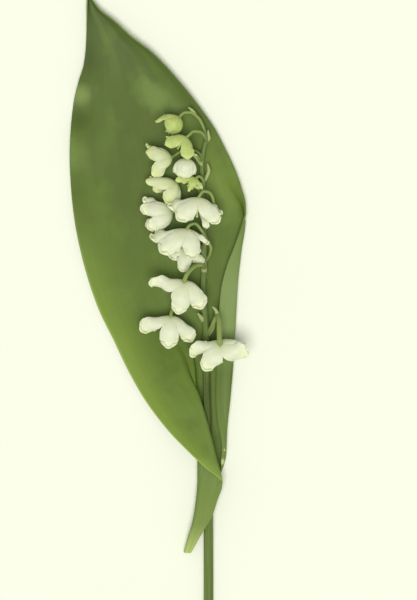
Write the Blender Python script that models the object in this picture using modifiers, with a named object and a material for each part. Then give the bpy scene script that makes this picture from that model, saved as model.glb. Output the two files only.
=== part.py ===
"""Lily of the valley: one picked flower stem and its leaf, lying on a surface.

The frame has +X to the right, +Y towards the leaf tip and +Z up, away from the surface at z = 0.
Lengths below are in millimetres and angles in degrees; MM turns them into Blender's metres.
"""

import math

import bmesh
import bpy
import numpy as np
from mathutils import Matrix, Vector
from mathutils.bvhtree import BVHTree

MM = 0.001

# Driving dimensions of the leaf.
LEAF_THICKNESS = 0.6
LEAF_TIP_Y = 84.1
LEAF_CUT_Y = -61.8
LEAF_COLUMNS = 18
LEAF_ROWS = [
    (LEAF_TIP_Y, 34.0, 11), (34.0, 18.0, 5), (18.0, -30.0, 8), (-30.0, -38.0, 3),
    (-38.0, -46.0, 7), (-46.0, LEAF_CUT_Y, 5),
]
FLOOR_Z = 0.2

# Driving dimensions of the stem and what it carries.
STEM_SIDES = 8
STEM_ROWS = 38
PEDICEL_SIDES = 6
PEDICEL_ROWS = 7

# Driving dimensions that every bell shares.
LOBES = 6
SECTOR = 360 / LOBES
BELL_THICKNESS = 0.6
WALL_ROOM = 0.34
BELL_ROWS = (0.0, 0.08, 0.22, 0.4, 0.6, 0.8, 0.93, 1.0)
BELL_COLUMNS = 3
PROFILE_STEPS = 16
SHOULDER = 88
SIDE_PUSH = 14
DEPTH_PEAK = 0.5
FRONT_SHORT = 0.12
SLIT_OPENING = 0.35
SLIT_LEAST = 0.3
HEART_GAP = 1.15

# The leaf's left margin and its right outline, as (y, x), from the tip to the cut end.
LEFT_MARGIN = [
    (84.1, -18.9), (71.3, -19.3), (66.0, -19.9), (62.1, -21.1), (55.5, -22.7), (49.0, -23.3),
    (41.1, -23.6), (33.3, -23.2), (25.4, -22.3), (17.6, -20.8), (9.7, -18.7), (1.8, -15.9),
    (-6.0, -12.1), (-13.9, -8.3), (-21.7, -3.8), (-29.6, 2.2), (-34.8, 7.2), (-38.0, 10.6),
    (-40.0, 12.8), (-42.2, 15.7), (-43.2, 16.5), (-44.4, 16.4), (-47.9, 15.2), (-51.9, 13.9),
    (-56.1, 11.4), (-61.8, 8.3),
]
RIGHT_MARGIN = [
    (84.1, -18.4), (80.4, -15.6), (77.3, -11.7), (73.4, -7.5), (69.4, -2.2), (62.9, 4.1),
    (54.2, 11.1), (49.0, 14.7), (43.8, 17.4), (38.5, 19.9), (33.3, 21.7), (29.3, 22.6),
    (27.2, 22.6), (24.1, 21.6), (17.6, 19.3), (13.4, 17.7), (7.3, 16.2), (2.4, 15.7),
    (-6.0, 15.2), (-13.9, 15.0), (-21.7, 14.9), (-27.0, 15.3), (-34.1, 16.4), (-37.5, 16.2),
    (-42.7, 15.8), (-47.9, 14.6), (-51.9, 13.3), (-56.0, 10.9), (-61.8, 7.9),
]
RIGHT_FOLD = [
    (38.0, 19.6), (33.0, 21.2), (29.0, 22.3), (25.0, 22.4), (17.6, 21.4), (9.7, 20.5), (1.8, 20.0),
    (-6.0, 19.6), (-13.9, 19.1), (-21.7, 18.4), (-29.6, 17.6), (-36.2, 17.3), (-39.5, 16.5),
    (-42.7, 15.3), (-47.9, 14.0), (-51.9, 12.6), (-56.0, 10.2), (-61.8, 7.6),
]
# The crease where the left half turns back, and the sheath's left side, as (y, x).
CREASE = [
    (-2.0, 5.8), (-6.0, 6.6), (-13.9, 7.3), (-19.9, 10.1), (-27.0, 12.3), (-32.2, 13.7),
    (-37.5, 15.0), (-41.4, 16.1), (-42.6, 16.3), (-43.6, 15.7), (-45.2, 14.6), (-50.0, 12.6),
    (-56.0, 10.0), (-61.8, 7.7),
]
SHEATH_SIDE = [
    (-2.0, 9.6), (-13.9, 9.4), (-19.9, 9.6), (-27.0, 9.9), (-37.5, 10.1), (-42.7, 10.1),
    (-47.9, 9.7), (-53.2, 8.9), (-58.4, 7.4), (-61.8, 6.5),
]
# Heights of the middle of the blade, as (y, z).
LEFT_MARGIN_Z = [
    (84.1, 1.4), (74.0, 0.8), (62.0, 1.7), (55.0, 0.6), (47.0, 1.8), (38.0, 0.8), (25.0, 1.4),
    (10.0, 1.0), (-6.0, 1.0), (-21.7, 1.4), (-29.6, 2.6), (-34.8, 4.4), (-37.5, 5.3),
    (-40.5, 5.1), (-44.0, 3.9), (-54.5, 3.9), (-57.5, 3.0), (-61.8, 1.7),
]
RIGHT_MARGIN_Z = [
    (84.1, 1.2), (72.0, 2.6), (60.0, 2.8), (50.0, 2.0), (40.0, 1.8), (31.0, 2.3), (24.0, 2.8),
    (7.0, 2.9), (-20.0, 2.6), (-34.0, 2.5), (-39.0, 1.6), (-43.0, 0.4), (-61.8, 0.3),
]
RIGHT_FOLD_TOP_Z = [
    (24.0, 2.2), (10.0, 2.9), (-6.0, 3.1), (-32.0, 3.0), (-37.5, 2.2), (-40.5, 1.1), (-43.0, 0.3),
    (-61.8, 0.3),
]
CREASE_Z = [
    (10.0, 0.2), (-2.0, 0.8), (-6.0, 1.3), (-13.9, 3.0), (-19.9, 4.4), (-24.0, 5.1), (-32.0, 5.3),
    (-38.0, 5.2), (-42.2, 4.4), (-45.0, 3.9), (-54.5, 3.9), (-57.5, 3.0), (-61.8, 1.7),
]
INNER_LAYER_Z = [
    (10.0, 0.2), (-2.0, 0.4), (-6.0, 0.7), (-13.9, 2.0), (-19.9, 3.2), (-24.0, 3.9), (-54.5, 3.9),
    (-57.5, 3.0), (-61.8, 1.7),
]
# Where the blade's plain width gives way to each fold, as (first y, last y).
RIGHT_FOLD_BLEND = (40.0, 25.0)
CREASE_BLEND = (6.0, -16.0)

# The stem's middle line with its radius, as (x, y, z, radius), from the cut end to the top bell.
STEM = [
    (12.8, -84.1, 1.25, 1.25), (12.8, -70.0, 1.25, 1.25), (12.8, -60.0, 1.5, 1.24),
    (12.8, -52.0, 2.15, 1.2), (12.7, -42.7, 2.15, 1.18), (12.6, -29.6, 2.1, 1.1),
    (12.3, -16.5, 1.95, 0.95), (12.2, -4.7, 1.9, 0.92), (11.9, 1.5, 1.85, 0.85),
    (11.5, 8.0, 1.8, 0.8), (11.8, 14.4, 1.8, 0.76), (11.8, 21.5, 1.8, 0.73),
    (11.5, 28.0, 1.9, 0.7), (11.1, 33.3, 2.1, 0.66), (11.1, 39.8, 2.3, 0.62),
    (11.6, 43.8, 2.5, 0.58), (12.2, 46.6, 2.8, 0.52), (11.6, 49.3, 3.2, 0.42),
    (10.0, 52.3, 3.6, 0.4), (7.9, 53.5, 4.0, 0.38), (6.5, 53.4, 4.3, 0.37), (5.65, 52.7, 4.4, 0.36),
]

# Each flower stalk's middle line as (x, y, z), from the stem to its bell, with its two end radii.
STALKS = [
    ([(12.5, 45.6, 2.7), (12.0, 46.9, 4.3), (10.6, 48.3, 5.8), (9.0, 48.4, 6.6), (7.9, 47.5, 7.0)],
     (0.4, 0.36)),
    ([(11.2, 39.2, 2.3), (11.0, 41.8, 2.8), (9.0, 43.6, 3.1), (6.0, 43.4, 3.5), (4.1, 42.3, 4.1)],
     (0.4, 0.36)),
    ([(11.0, 39.8, 2.4), (10.5, 41.2, 3.5), (9.5, 42.4, 4.5), (8.4, 42.6, 5.1), (7.5, 41.9, 5.6)],
     (0.4, 0.36)),
    ([(11.1, 32.4, 2.1), (11.6, 34.6, 3.2), (11.2, 36.2, 4.1), (10.3, 36.8, 4.5)], (0.45, 0.38)),
    ([(11.1, 31.0, 2.1), (10.2, 33.5, 2.2), (8.2, 35.6, 2.2), (6.5, 36.3, 2.7), (5.4, 35.9, 3.4)],
     (0.42, 0.36)),
    ([(11.6, 24.5, 1.9), (10.6, 27.4, 2.5), (8.0, 29.0, 2.9), (5.5, 28.6, 3.5), (4.1, 27.7, 4.1)],
     (0.42, 0.36)),
    ([(11.7, 24.6, 2.0), (13.4, 27.4, 3.2), (14.2, 29.5, 4.4), (13.9, 31.2, 5.4),
      (12.8, 32.6, 6.0), (11.6, 32.8, 6.4), (10.8, 32.0, 6.5)], (0.42, 0.4)),
    ([(12.0, 14.4, 1.9), (13.2, 16.4, 3.0), (13.5, 18.0, 3.9), (12.6, 19.8, 4.4),
      (10.9, 22.8, 4.9), (9.2, 24.4, 6.0), (7.9, 23.9, 6.8)], (0.45, 0.4)),
    ([(12.0, 13.8, 1.8), (11.2, 17.0, 2.1), (9.7, 19.4, 2.5), (8.1, 19.4, 2.8)], (0.45, 0.38)),
    ([(11.8, 12.2, 1.9), (11.5, 13.6, 3.4), (9.9, 13.5, 5.0), (8.2, 12.3, 6.6), (7.1, 10.9, 7.3),
      (6.7, 9.9, 7.3)], (0.5, 0.6)),
    ([(12.1, -1.5, 1.9), (11.2, 2.2, 2.2), (9.0, 4.1, 2.2), (5.9, 3.9, 2.4), (3.9, 2.6, 3.4),
      (3.1, 1.0, 4.6)], (0.5, 0.45)),
    ([(12.3, -5.0, 2.0), (13.8, -2.2, 3.6), (15.1, 0.3, 5.8), (15.5, -0.9, 7.3),
      (15.6, -3.4, 8.3), (15.7, -6.2, 8.8)], (0.5, 0.68)),
]

# Each small bract as (x, y, z, radius) from its foot to its tip.
BRACTS = [
    [(9.5, 52.8, 3.7, 0.4), (8.6, 54.0, 3.9, 0.34), (7.6, 54.8, 4.1, 0.2)],
    [(12.3, 45.8, 2.7, 0.45), (12.9, 47.0, 3.0, 0.42), (12.7, 48.9, 3.2, 0.2)],
    [(11.4, 35.2, 2.2, 0.45), (12.4, 36.8, 2.6, 0.42), (12.9, 38.4, 2.8, 0.4), (12.6, 40.1, 3.0, 0.2)],
    [(11.8, 10.0, 1.9, 0.75), (11.7, 12.2, 2.3, 0.72), (11.9, 14.4, 2.6, 0.2)],
    [(12.0, -1.6, 2.1, 0.6), (11.0, -0.2, 2.7, 0.5), (10.0, 1.0, 2.9, 0.25)],
    [(12.6, -4.8, 2.4, 0.6), (13.8, -3.0, 2.7, 0.5), (14.7, -0.9, 3.1, 0.25)],
    [(15.2, 0.0, 5.4, 0.5), (14.9, 1.5, 5.8, 0.4), (13.9, 2.7, 6.0, 0.2)],
]

# One row for each bell, from the top of the stem down.
# seat is where its stalk meets it, and aim the way its mouth faces, seen from above, with 0 to the
# right and -90 towards the cut end. pitch turns its mouth down to the surface, and crown is how far
# its far side stands up past the seat. deep is half its depth, fall the share of that lost at its
# tips, roll turns the lobes round the mouth, and turn_end is the share of its length over which a
# side curves from the shoulder to the lobe's own way.
# Each lobe is (way, reach, width, slit): the way its tip points, its length, its width, and how far
# down the slits beside it start. lap limits its half width to that share of its room.
BELLS = [
    dict(seat=(5.3, 52.3, 4.4), aim=-128, pitch=0, crown=0, roll=30, deep=2.3, fall=0.4,
         turn_end=1.0, lap=0.42,
         lobes=[(-206, 7.0, 2.8, 0.8), (-132, 5.4, 4.2, 0.8), (-136, 6.8, 2.6, 0.24),
                (-52, 7.0, 4.2, 0.8), (-128, 5.4, 2.8, 0.8), (-206, 7.0, 2.8, 0.8)]),
    dict(seat=(7.2, 46.9, 6.9), aim=-128, pitch=0, crown=0, roll=0, deep=1.9, fall=0.35,
         turn_end=0.5, lap=0.46,
         lobes=[(-80, 5.2, 2.8, 0.3), (-92, 6.2, 3.8, 0.36), (-158, 6.0, 4.2, 0.36),
                (-172, 5.2, 3.0, 0.3), (-150, 4.4, 2.8, 0.3), (-100, 4.4, 2.8, 0.3)]),
    dict(seat=(3.3, 41.8, 4.8), aim=-160, pitch=0, crown=0, roll=0, deep=2.1, fall=0.45,
         turn_end=0.5, lap=0.4,
         lobes=[(-140, 5.6, 3.2, 0.4), (-152, 7.2, 4.1, 0.5), (-188, 7.5, 4.4, 0.5),
                (-200, 6.4, 3.4, 0.4), (-178, 5.6, 3.4, 0.4), (-155, 5.4, 3.4, 0.4)]),
    dict(seat=(7.1, 41.4, 6.0), aim=-97, pitch=6, crown=0.2, roll=30, deep=2.0, fall=0.5,
         turn_end=0.8, lap=0.46,
         lobes=[(-112, 5.0, 3.4, 0.8), (-97, 5.2, 4.2, 0.8), (-90, 5.6, 4.0, 0.8),
                (-90, 5.2, 3.4, 0.7), (-97, 4.8, 3.4, 0.7), (-112, 4.8, 3.4, 0.7)]),
    dict(seat=(9.7, 36.3, 4.5), aim=-125, pitch=0, crown=0, roll=30, deep=1.3, fall=0.3,
         turn_end=0.5, lap=0.34,
         lobes=[(-80, 2.8, 1.8, 0.4), (-112, 3.9, 2.2, 0.4), (-168, 4.6, 2.7, 0.4),
                (-160, 4.0, 2.2, 0.4), (-125, 3.2, 2.2, 0.4), (-90, 2.6, 1.8, 0.4)]),
    dict(seat=(4.6, 35.2, 3.4), aim=-138, pitch=0, crown=0, roll=0, deep=2.0, fall=0.3,
         turn_end=0.5, lap=0.46,
         lobes=[(-88, 5.2, 3.4, 0.3), (-108, 6.2, 4.7, 0.36), (-181, 8.4, 3.5, 0.3),
                (-172, 7.0, 3.0, 0.3), (-156, 6.4, 3.2, 0.3), (-120, 5.2, 3.4, 0.3)]),
    dict(seat=(3.4, 27.3, 4.5), aim=-164, pitch=0, crown=0, roll=0, deep=2.2, fall=0.35,
         turn_end=0.5, lap=0.4,
         lobes=[(-158, 7.2, 3.6, 0.4), (-172, 8.2, 4.2, 0.55), (-174, 8.7, 4.1, 0.55),
                (-181, 9.2, 3.6, 0.4), (-178, 7.6, 3.6, 0.4), (-166, 8.2, 3.6, 0.4)]),
    dict(seat=(10.3, 31.2, 6.3), aim=-95, pitch=0, crown=0.3, roll=0, deep=2.3, fall=0.3,
         turn_end=0.5, lap=0.46,
         lobes=[(-52, 8.0, 3.8, 0.3), (-58, 9.1, 5.0, 0.34), (-130, 8.6, 5.8, 0.34),
                (-142, 8.0, 3.8, 0.3), (-108, 7.2, 3.4, 0.3), (-84, 8.8, 3.0, 0.3)]),
    dict(seat=(7.3, 23.0, 6.8), aim=-98, pitch=0, crown=0.3, roll=0, deep=2.3, fall=0.3,
         turn_end=0.5, lap=0.46,
         lobes=[(-38, 6.4, 3.0, 0.3), (-90, 9.2, 4.4, 0.4), (-140, 9.0, 4.4, 0.4),
                (-158, 9.4, 3.6, 0.3), (-114, 7.4, 3.6, 0.3), (-76, 7.8, 3.6, 0.3)]),
    dict(seat=(7.2, 18.4, 2.9), aim=-95, pitch=0, crown=0, roll=30, deep=1.3, fall=0.3,
         turn_end=0.5, lap=0.38,
         lobes=[(-60, 6.0, 3.8, 0.4), (-104, 7.3, 4.1, 0.4), (-140, 5.6, 3.4, 0.4),
                (-130, 5.2, 3.2, 0.4), (-95, 5.6, 3.2, 0.4), (-66, 5.2, 3.2, 0.4)]),
    dict(seat=(6.5, 9.1, 6.8), aim=-98, pitch=8, crown=1.6, roll=30, deep=2.1, fall=0.35,
         turn_end=0.5, lap=0.46,
         lobes=[(-72, 9.0, 4.3, 0.34), (-101, 8.8, 4.4, 0.34), (-176, 9.2, 3.8, 0.34),
                (-150, 7.0, 3.4, 0.34), (-108, 6.8, 3.4, 0.34), (-72, 8.6, 3.6, 0.34)]),
    dict(seat=(3.0, 0.2, 4.7), aim=-92, pitch=5, crown=0.7, roll=30, deep=2.1, fall=0.35,
         turn_end=0.5, lap=0.46,
         lobes=[(-58, 8.6, 4.9, 0.36), (-96, 8.8, 4.7, 0.36), (-160, 9.2, 4.5, 0.36),
                (-140, 7.0, 3.8, 0.36), (-95, 7.2, 3.8, 0.36), (-68, 7.4, 3.8, 0.36)]),
    dict(seat=(15.9, -7.2, 8.0), aim=-84, pitch=12, crown=2.4, roll=0, deep=2.2, fall=0.3,
         turn_end=0.5, lap=0.46,
         lobes=[(-12, 7.4, 4.2, 0.3), (-12, 8.3, 5.6, 0.3), (-130, 8.0, 5.2, 0.3),
                (-158, 8.2, 3.8, 0.3), (-138, 6.4, 3.6, 0.3), (-36, 6.4, 3.6, 0.3)]),
]
GREEN_BELLS = (1, 2, 5)


def smooth_value(knots, position):
    """Monotone cubic through (position, value) knots, flat beyond both ends."""
    knots = sorted(knots)
    x = np.array([k[0] for k in knots], float)
    v = np.array([k[1] for k in knots], float)
    position = min(max(position, x[0]), x[-1])
    gap = np.diff(x)
    slope = np.diff(v) / gap
    tangent = np.zeros(len(x))
    tangent[0], tangent[-1] = slope[0], slope[-1]
    for i in range(1, len(x) - 1):
        if slope[i - 1] * slope[i] > 0:
            before, after = 2 * gap[i] + gap[i - 1], gap[i] + 2 * gap[i - 1]
            tangent[i] = (before + after) / (before / slope[i - 1] + after / slope[i])
    i = min(int(np.searchsorted(x, position, side="right")) - 1, len(gap) - 1)
    s = (position - x[i]) / gap[i]
    return float(
        v[i] * (1 + 2 * s) * (1 - s) ** 2
        + tangent[i] * gap[i] * s * (1 - s) ** 2
        + v[i + 1] * s * s * (3 - 2 * s)
        + tangent[i + 1] * gap[i] * s * s * (s - 1)
    )


def smoothstep(first, last, value):
    """0 at first and before it, 1 at last and beyond it."""
    share = min(max((value - first) / (last - first), 0.0), 1.0)
    return share * share * (3 - 2 * share)


def spline_weights(points, samples):
    """Weights of a clamped quadratic B-spline's control points at evenly spaced samples."""
    knots = np.concatenate([[0, 0], np.linspace(0, 1, points - 1), [1, 1]])
    weights = np.zeros((samples, points))
    for row, u in enumerate(np.linspace(0, 1, samples)):
        u = min(u, 1 - 1e-9)
        basis = np.array([float(a <= u < b) for a, b in zip(knots, knots[1:])])
        for degree in (1, 2):
            raised = np.zeros(len(basis) - 1)
            for i in range(len(raised)):
                if knots[i + degree] > knots[i]:
                    raised[i] += (u - knots[i]) / (knots[i + degree] - knots[i]) * basis[i]
                if knots[i + degree + 1] > knots[i + 1]:
                    raised[i] += (
                        (knots[i + degree + 1] - u)
                        / (knots[i + degree + 1] - knots[i + 1])
                        * basis[i + 1]
                    )
            basis = raised
        weights[row] = basis
    return weights


def plain_blade(y, share):
    """A point of the open blade at that share of its width: margins lifted, the middle lying flat."""
    left, right = smooth_value(LEFT_MARGIN, y), smooth_value(RIGHT_MARGIN, y)
    lift_left = (smooth_value(LEFT_MARGIN_Z, y) - FLOOR_Z) * max(0.0, 1 - share / 0.34) ** 2
    lift_right = (smooth_value(RIGHT_MARGIN_Z, y) - FLOOR_Z) * max(0.0, (share - 0.66) / 0.34) ** 2
    tip_lift = 1.2 * smoothstep(60.0, LEAF_TIP_Y, y)
    return left + (right - left) * share, FLOOR_Z + lift_left + lift_right + tip_lift


def leaf_section(y):
    """Control points (x, z) across the leaf at that y, from the left margin to the right one."""
    left = (smooth_value(LEFT_MARGIN, y), smooth_value(LEFT_MARGIN_Z, y))
    right = (smooth_value(RIGHT_MARGIN, y), smooth_value(RIGHT_MARGIN_Z, y))
    crease, crease_z = smooth_value(CREASE, y), smooth_value(CREASE_Z, y)
    side, inner_z = smooth_value(SHEATH_SIDE, y), smooth_value(INNER_LAYER_Z, y)
    fold, fold_z = smooth_value(RIGHT_FOLD, y), smooth_value(RIGHT_FOLD_TOP_Z, y)
    reach = crease - left[0]
    round_off = math.copysign(min(1.0, 0.2 * abs(reach)), reach)
    folded = [
        left,
        (left[0] + 0.35 * reach, left[1] + 0.45 * (crease_z - left[1])),
        (left[0] + 0.7 * reach, left[1] + 0.8 * (crease_z - left[1])),
        (crease - round_off, crease_z),
        (crease, crease_z),
        (crease + 0.3 * max(side - crease, 0), inner_z),
        (crease + 0.6 * (side - crease), inner_z),
        (side, inner_z),
        (side, FLOOR_Z),
        (side + 0.5 * (fold - side), FLOOR_Z),
        (fold, FLOOR_Z),
        (fold, fold_z),
        right,
    ]
    shares = (0, 0.1, 0.2, 0.3, 0.38, 0.46, 0.53, 0.6, 0.68, 0.78, 0.88, 0.95, 1)
    from_crease = smoothstep(*CREASE_BLEND, y)
    from_fold = smoothstep(*RIGHT_FOLD_BLEND, y)
    section = []
    for i, share in enumerate(shares):
        plain = plain_blade(y, share)
        blend = from_fold if i >= 10 else from_crease
        section.append([p + (f - p) * blend for p, f in zip(plain, folded[i])])
    return np.array(section)


def link(name, mesh, collection, material=None):
    obj = bpy.data.objects.new(name, mesh)
    collection.objects.link(obj)
    if material:
        mesh.materials.append(material)
    return obj


def apply_modifiers(obj):
    """Replace the object's mesh by its evaluated one."""
    graph = bpy.context.evaluated_depsgraph_get()
    graph.update()
    mesh = bpy.data.meshes.new_from_object(obj.evaluated_get(graph))
    obj.modifiers.clear()
    obj.data = mesh


def smooth_shade(obj, angle=50):
    obj.data.shade_smooth()
    obj.data.set_sharp_from_angle(angle=math.radians(angle))


def make_material(name, colour, roughness):
    material = bpy.data.materials.new(name)
    material.use_nodes = True
    shader = material.node_tree.nodes["Principled BSDF"]
    shader.inputs["Base Color"].default_value = (*colour, 1)
    shader.inputs["Roughness"].default_value = roughness
    shader.inputs["Metallic"].default_value = 0
    return material


def make_leaf(collection, material):
    """A lofted sheet, thickened evenly and pressed flat where it lies on the surface."""
    rows = [LEAF_TIP_Y]
    for first, last, count in LEAF_ROWS:
        rows += list(np.linspace(first, last, count + 1))[1:]
    columns = LEAF_COLUMNS + 1
    weights = spline_weights(len(leaf_section(0)), columns)
    points = [
        (x * MM, y * MM, z * MM) for y in rows for x, z in weights @ leaf_section(y)
    ]
    faces = []
    for r in range(len(rows) - 1):
        for c in range(columns - 1):
            a = r * columns + c
            faces += [(a, a + columns, a + columns + 1), (a, a + columns + 1, a + 1)]
    mesh = bpy.data.meshes.new("leaf")
    mesh.from_pydata(points, [], faces)
    leaf = link("leaf", mesh, collection, material)
    wall = leaf.modifiers.new("thickness", "SOLIDIFY")
    wall.thickness = LEAF_THICKNESS * MM
    wall.offset = 0
    apply_modifiers(leaf)
    for vertex in leaf.data.vertices:
        vertex.co.z = max(vertex.co.z, 0)
    smooth_shade(leaf)
    return leaf


def tube_points(path, rows):
    """A smooth curve through (x, y, z, radius) points, with more rows where the points are dense."""
    path = np.array(path, float)
    along = np.concatenate([[0], np.cumsum(np.linalg.norm(np.diff(path[:, :3], axis=0), axis=1))])
    return [
        [smooth_value(list(zip(along, path[:, i])), s) for i in range(4)]
        for s in np.interp(np.linspace(0, len(path) - 1, rows + 1), range(len(path)), along)
    ]


def make_tube(name, samples, sides, collection):
    """A tapered tube on a poly curve, made a mesh with its caps welded."""
    curve = bpy.data.curves.new(name, "CURVE")
    curve.dimensions = "3D"
    curve.bevel_depth = 1.0 * MM
    curve.bevel_resolution = sides // 2 - 2
    curve.use_fill_caps = True
    spline = curve.splines.new("POLY")
    spline.points.add(len(samples) - 1)
    for point, (x, y, z, radius) in zip(spline.points, samples):
        point.co = (x * MM, y * MM, z * MM, 1)
        point.radius = radius
    guide = bpy.data.objects.new(name + "_line", curve)
    collection.objects.link(guide)
    graph = bpy.context.evaluated_depsgraph_get()
    graph.update()
    mesh = bpy.data.meshes.new_from_object(guide.evaluated_get(graph))
    bpy.data.objects.remove(guide)
    weld(mesh)
    return link(name, mesh, collection)


def make_stem(collection, material):
    """The stem with every flower stalk and bract grown onto it, as one body."""
    stem = make_tube("flower_stem", tube_points(STEM, STEM_ROWS), STEM_SIDES, collection)
    grown = bpy.data.collections.new("grown_onto_stem")
    bpy.context.scene.collection.children.link(grown)
    for number, (line, (first, last)) in enumerate(STALKS, 2):
        radii = np.linspace(first, last, len(line))
        path = [(*point, radius) for point, radius in zip(line, radii)]
        make_tube(f"stalk_{number:02d}", tube_points(path, PEDICEL_ROWS), PEDICEL_SIDES, grown)
    for number, path in enumerate(BRACTS, 1):
        make_tube(f"bract_{number:02d}", tube_points(path, 3), PEDICEL_SIDES, grown)
    join = stem.modifiers.new("join", "BOOLEAN")
    join.operation = "UNION"
    join.operand_type = "COLLECTION"
    join.collection = grown
    join.solver = "EXACT"
    apply_modifiers(stem)
    for obj in list(grown.objects):
        bpy.data.objects.remove(obj)
    bpy.data.collections.remove(grown)
    stem.data.materials.clear()
    stem.data.materials.append(material)
    smooth_shade(stem)
    return stem


def weld(mesh, distance=0.01):
    """Merge points closer than that many millimetres, and point the faces outwards."""
    shape = bmesh.new()
    shape.from_mesh(mesh)
    bmesh.ops.remove_doubles(shape, verts=shape.verts, dist=distance * MM)
    bmesh.ops.recalc_face_normals(shape, faces=shape.faces)
    shape.to_mesh(mesh)
    shape.free()


def way_vector(degrees):
    """Unit vector that points that way, seen from above."""
    return Vector((math.cos(math.radians(degrees)), math.sin(math.radians(degrees)), 0))


def place_values(bell, place):
    """Ring angle, way of the tip and reach at a place round the mouth: lobe k's middle is at k."""
    theta = bell["roll"] + SECTOR * place
    k = math.floor(place)
    share = place - k
    here, after = bell["lobes"][k % LOBES], bell["lobes"][(k + 1) % LOBES]
    turn = (after[0] - here[0] + 180) % 360 - 180
    between = bell["roll"] + SECTOR * (k + 0.5)
    push = SIDE_PUSH * math.cos(math.radians(between)) ** 3
    way = here[0] + turn * share + push * math.sin(math.pi * share)
    return theta, way, here[1] + (after[1] - here[1]) * share


def sheet_point(bell, place, t):
    """A point of the bell's outer surface, as if no slit parted its lobes, from its seat."""
    theta, way, reach = place_values(bell, place)
    side, front = math.cos(math.radians(theta)), math.sin(math.radians(theta))
    first = bell["aim"] + SHOULDER * side
    turn = (way - first + 180) % 360 - 180
    point = Vector((0, 0, 0))
    step = t / PROFILE_STEPS
    for i in range(PROFILE_STEPS):
        along = (i + 0.5) * step
        point += way_vector(first + turn * min(along / bell["turn_end"], 1)) * (reach * step)
    rise = math.sqrt(1 - (1 - min(t / DEPTH_PEAK, 1)) ** 2)
    drop = bell["fall"] * max(0.0, (t - DEPTH_PEAK) / (1 - DEPTH_PEAK)) ** 2
    point *= 1 - FRONT_SHORT * abs(front)
    point -= way_vector(bell["aim"]) * (bell["crown"] * (1 - front) / 2 * rise)
    point.z = bell["deep"] * front * (rise - drop)
    return point


def lobe_point(bell, k, t, across):
    """A point of lobe k at t down its length and across from -1 to 1, from the bell's seat."""
    fused = sheet_point(bell, k + across / 2, t)
    beside = k + 1 if across > 0 else k - 1
    start = min(bell["lobes"][k][3], bell["lobes"][beside % LOBES][3])
    opened = smoothstep(start, min(start + SLIT_OPENING, 1), t)
    if opened < SLIT_LEAST:
        return fused
    middle = sheet_point(bell, k, t)
    chord = sheet_point(bell, k + 0.5, t) - sheet_point(bell, k - 0.5, t)
    along = (middle - sheet_point(bell, k, t - 0.04)).normalized()
    sideways = (chord - along * chord.dot(along)).normalized()
    narrow = math.sqrt(1 - 0.93 * t**8)
    half = min(0.5 * bell["lobes"][k][2], bell["lap"] * chord.length) * narrow
    puff = 0.3 * half * across * across * sideways.cross(along)
    strip = middle + sideways * (half * across) + puff
    return fused.lerp(strip, opened)


def bell_to_world(bell, local):
    """A point of the bell in metres: its mouth turned down by the pitch, and its seat put in place."""
    along = way_vector(bell["aim"])
    down = math.radians(bell["pitch"])
    reach = local.dot(along)
    turned = local - along * reach
    turned += along * (reach * math.cos(down) + local.z * math.sin(down))
    turned.z = local.z * math.cos(down) - reach * math.sin(down)
    return (Vector(bell["seat"]) + turned) * MM


def leave_room(obj):
    """Weights that thin a closing wall where it would cross the wall on its other side."""
    mesh = obj.data
    tree = BVHTree.FromPolygons([v.co for v in mesh.vertices], [f.vertices for f in mesh.polygons])
    room = obj.vertex_groups.new(name="room")
    for vertex in mesh.vertices:
        way = tree.ray_cast(vertex.co - vertex.normal * 0.05 * MM, -vertex.normal)[3]
        share = WALL_ROOM * (way or 1) / (BELL_THICKNESS * MM)
        room.add([vertex.index], min(share, 1), "REPLACE")
    return room


def make_bell(name, bell, collection, material):
    """Six lobes, joined above their slits into one dome, as a wall of even thickness."""
    points, faces = [], []
    columns = BELL_COLUMNS + 1
    for k in range(LOBES):
        first = len(points)
        for t in BELL_ROWS:
            for c in range(columns):
                across = 2 * c / BELL_COLUMNS - 1
                points.append(bell_to_world(bell, lobe_point(bell, k, t, across)))
        for r in range(len(BELL_ROWS) - 1):
            for c in range(columns - 1):
                a = first + r * columns + c
                faces += [(a, a + columns, a + columns + 1), (a, a + columns + 1, a + 1)]
    mesh = bpy.data.meshes.new(name)
    mesh.from_pydata(points, [], faces)
    weld(mesh)
    front = max(mesh.polygons, key=lambda face: face.center.z)
    if front.normal.z < 0:
        mesh.flip_normals()
    obj = link(name, mesh, collection, material)
    wall = obj.modifiers.new("thickness", "SOLIDIFY")
    wall.thickness = BELL_THICKNESS * MM
    wall.offset = -1
    wall.vertex_group = leave_room(obj).name
    apply_modifiers(obj)
    obj.vertex_groups.clear()
    smooth_shade(obj)
    return obj


def make_heart(name, bell, collection, material):
    """The pistil with its ring of stamens, as one lathed shape inside the bell."""
    wide = (bell["deep"] / 2.2) ** 1.5
    long = bell["lobes"][1][1] * (1 - bell["fall"] / 2) / 7.3
    outline = [(HEART_GAP, 0.3), (1.4, 0.55), (2.1, 0.78), (2.9, 0.74), (3.3, 0.34), (4.6, 0.28),
               (4.9, 0.38), (5.2, 0.22)]
    samples = []
    for along, radius in outline:
        along = HEART_GAP + (along - HEART_GAP) * long
        place = bell_to_world(bell, way_vector(bell["aim"]) * along) / MM
        samples.append((*place, radius * wide))
    heart = make_tube(name, samples, PEDICEL_SIDES, collection)
    heart.data.materials.append(material)
    smooth_shade(heart)
    return heart


def centre_frame(objects):
    """Move every object so that the frame's origin is the middle of the base of the whole plant."""
    corners = [obj.matrix_world @ Vector(corner) for obj in objects for corner in obj.bound_box]
    low = [min(corner[i] for corner in corners) for i in range(3)]
    high = [max(corner[i] for corner in corners) for i in range(3)]
    shift = Vector((-(low[0] + high[0]) / 2, -(low[1] + high[1]) / 2, -low[2]))
    for obj in objects:
        obj.data.transform(Matrix.Translation(shift))


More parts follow.
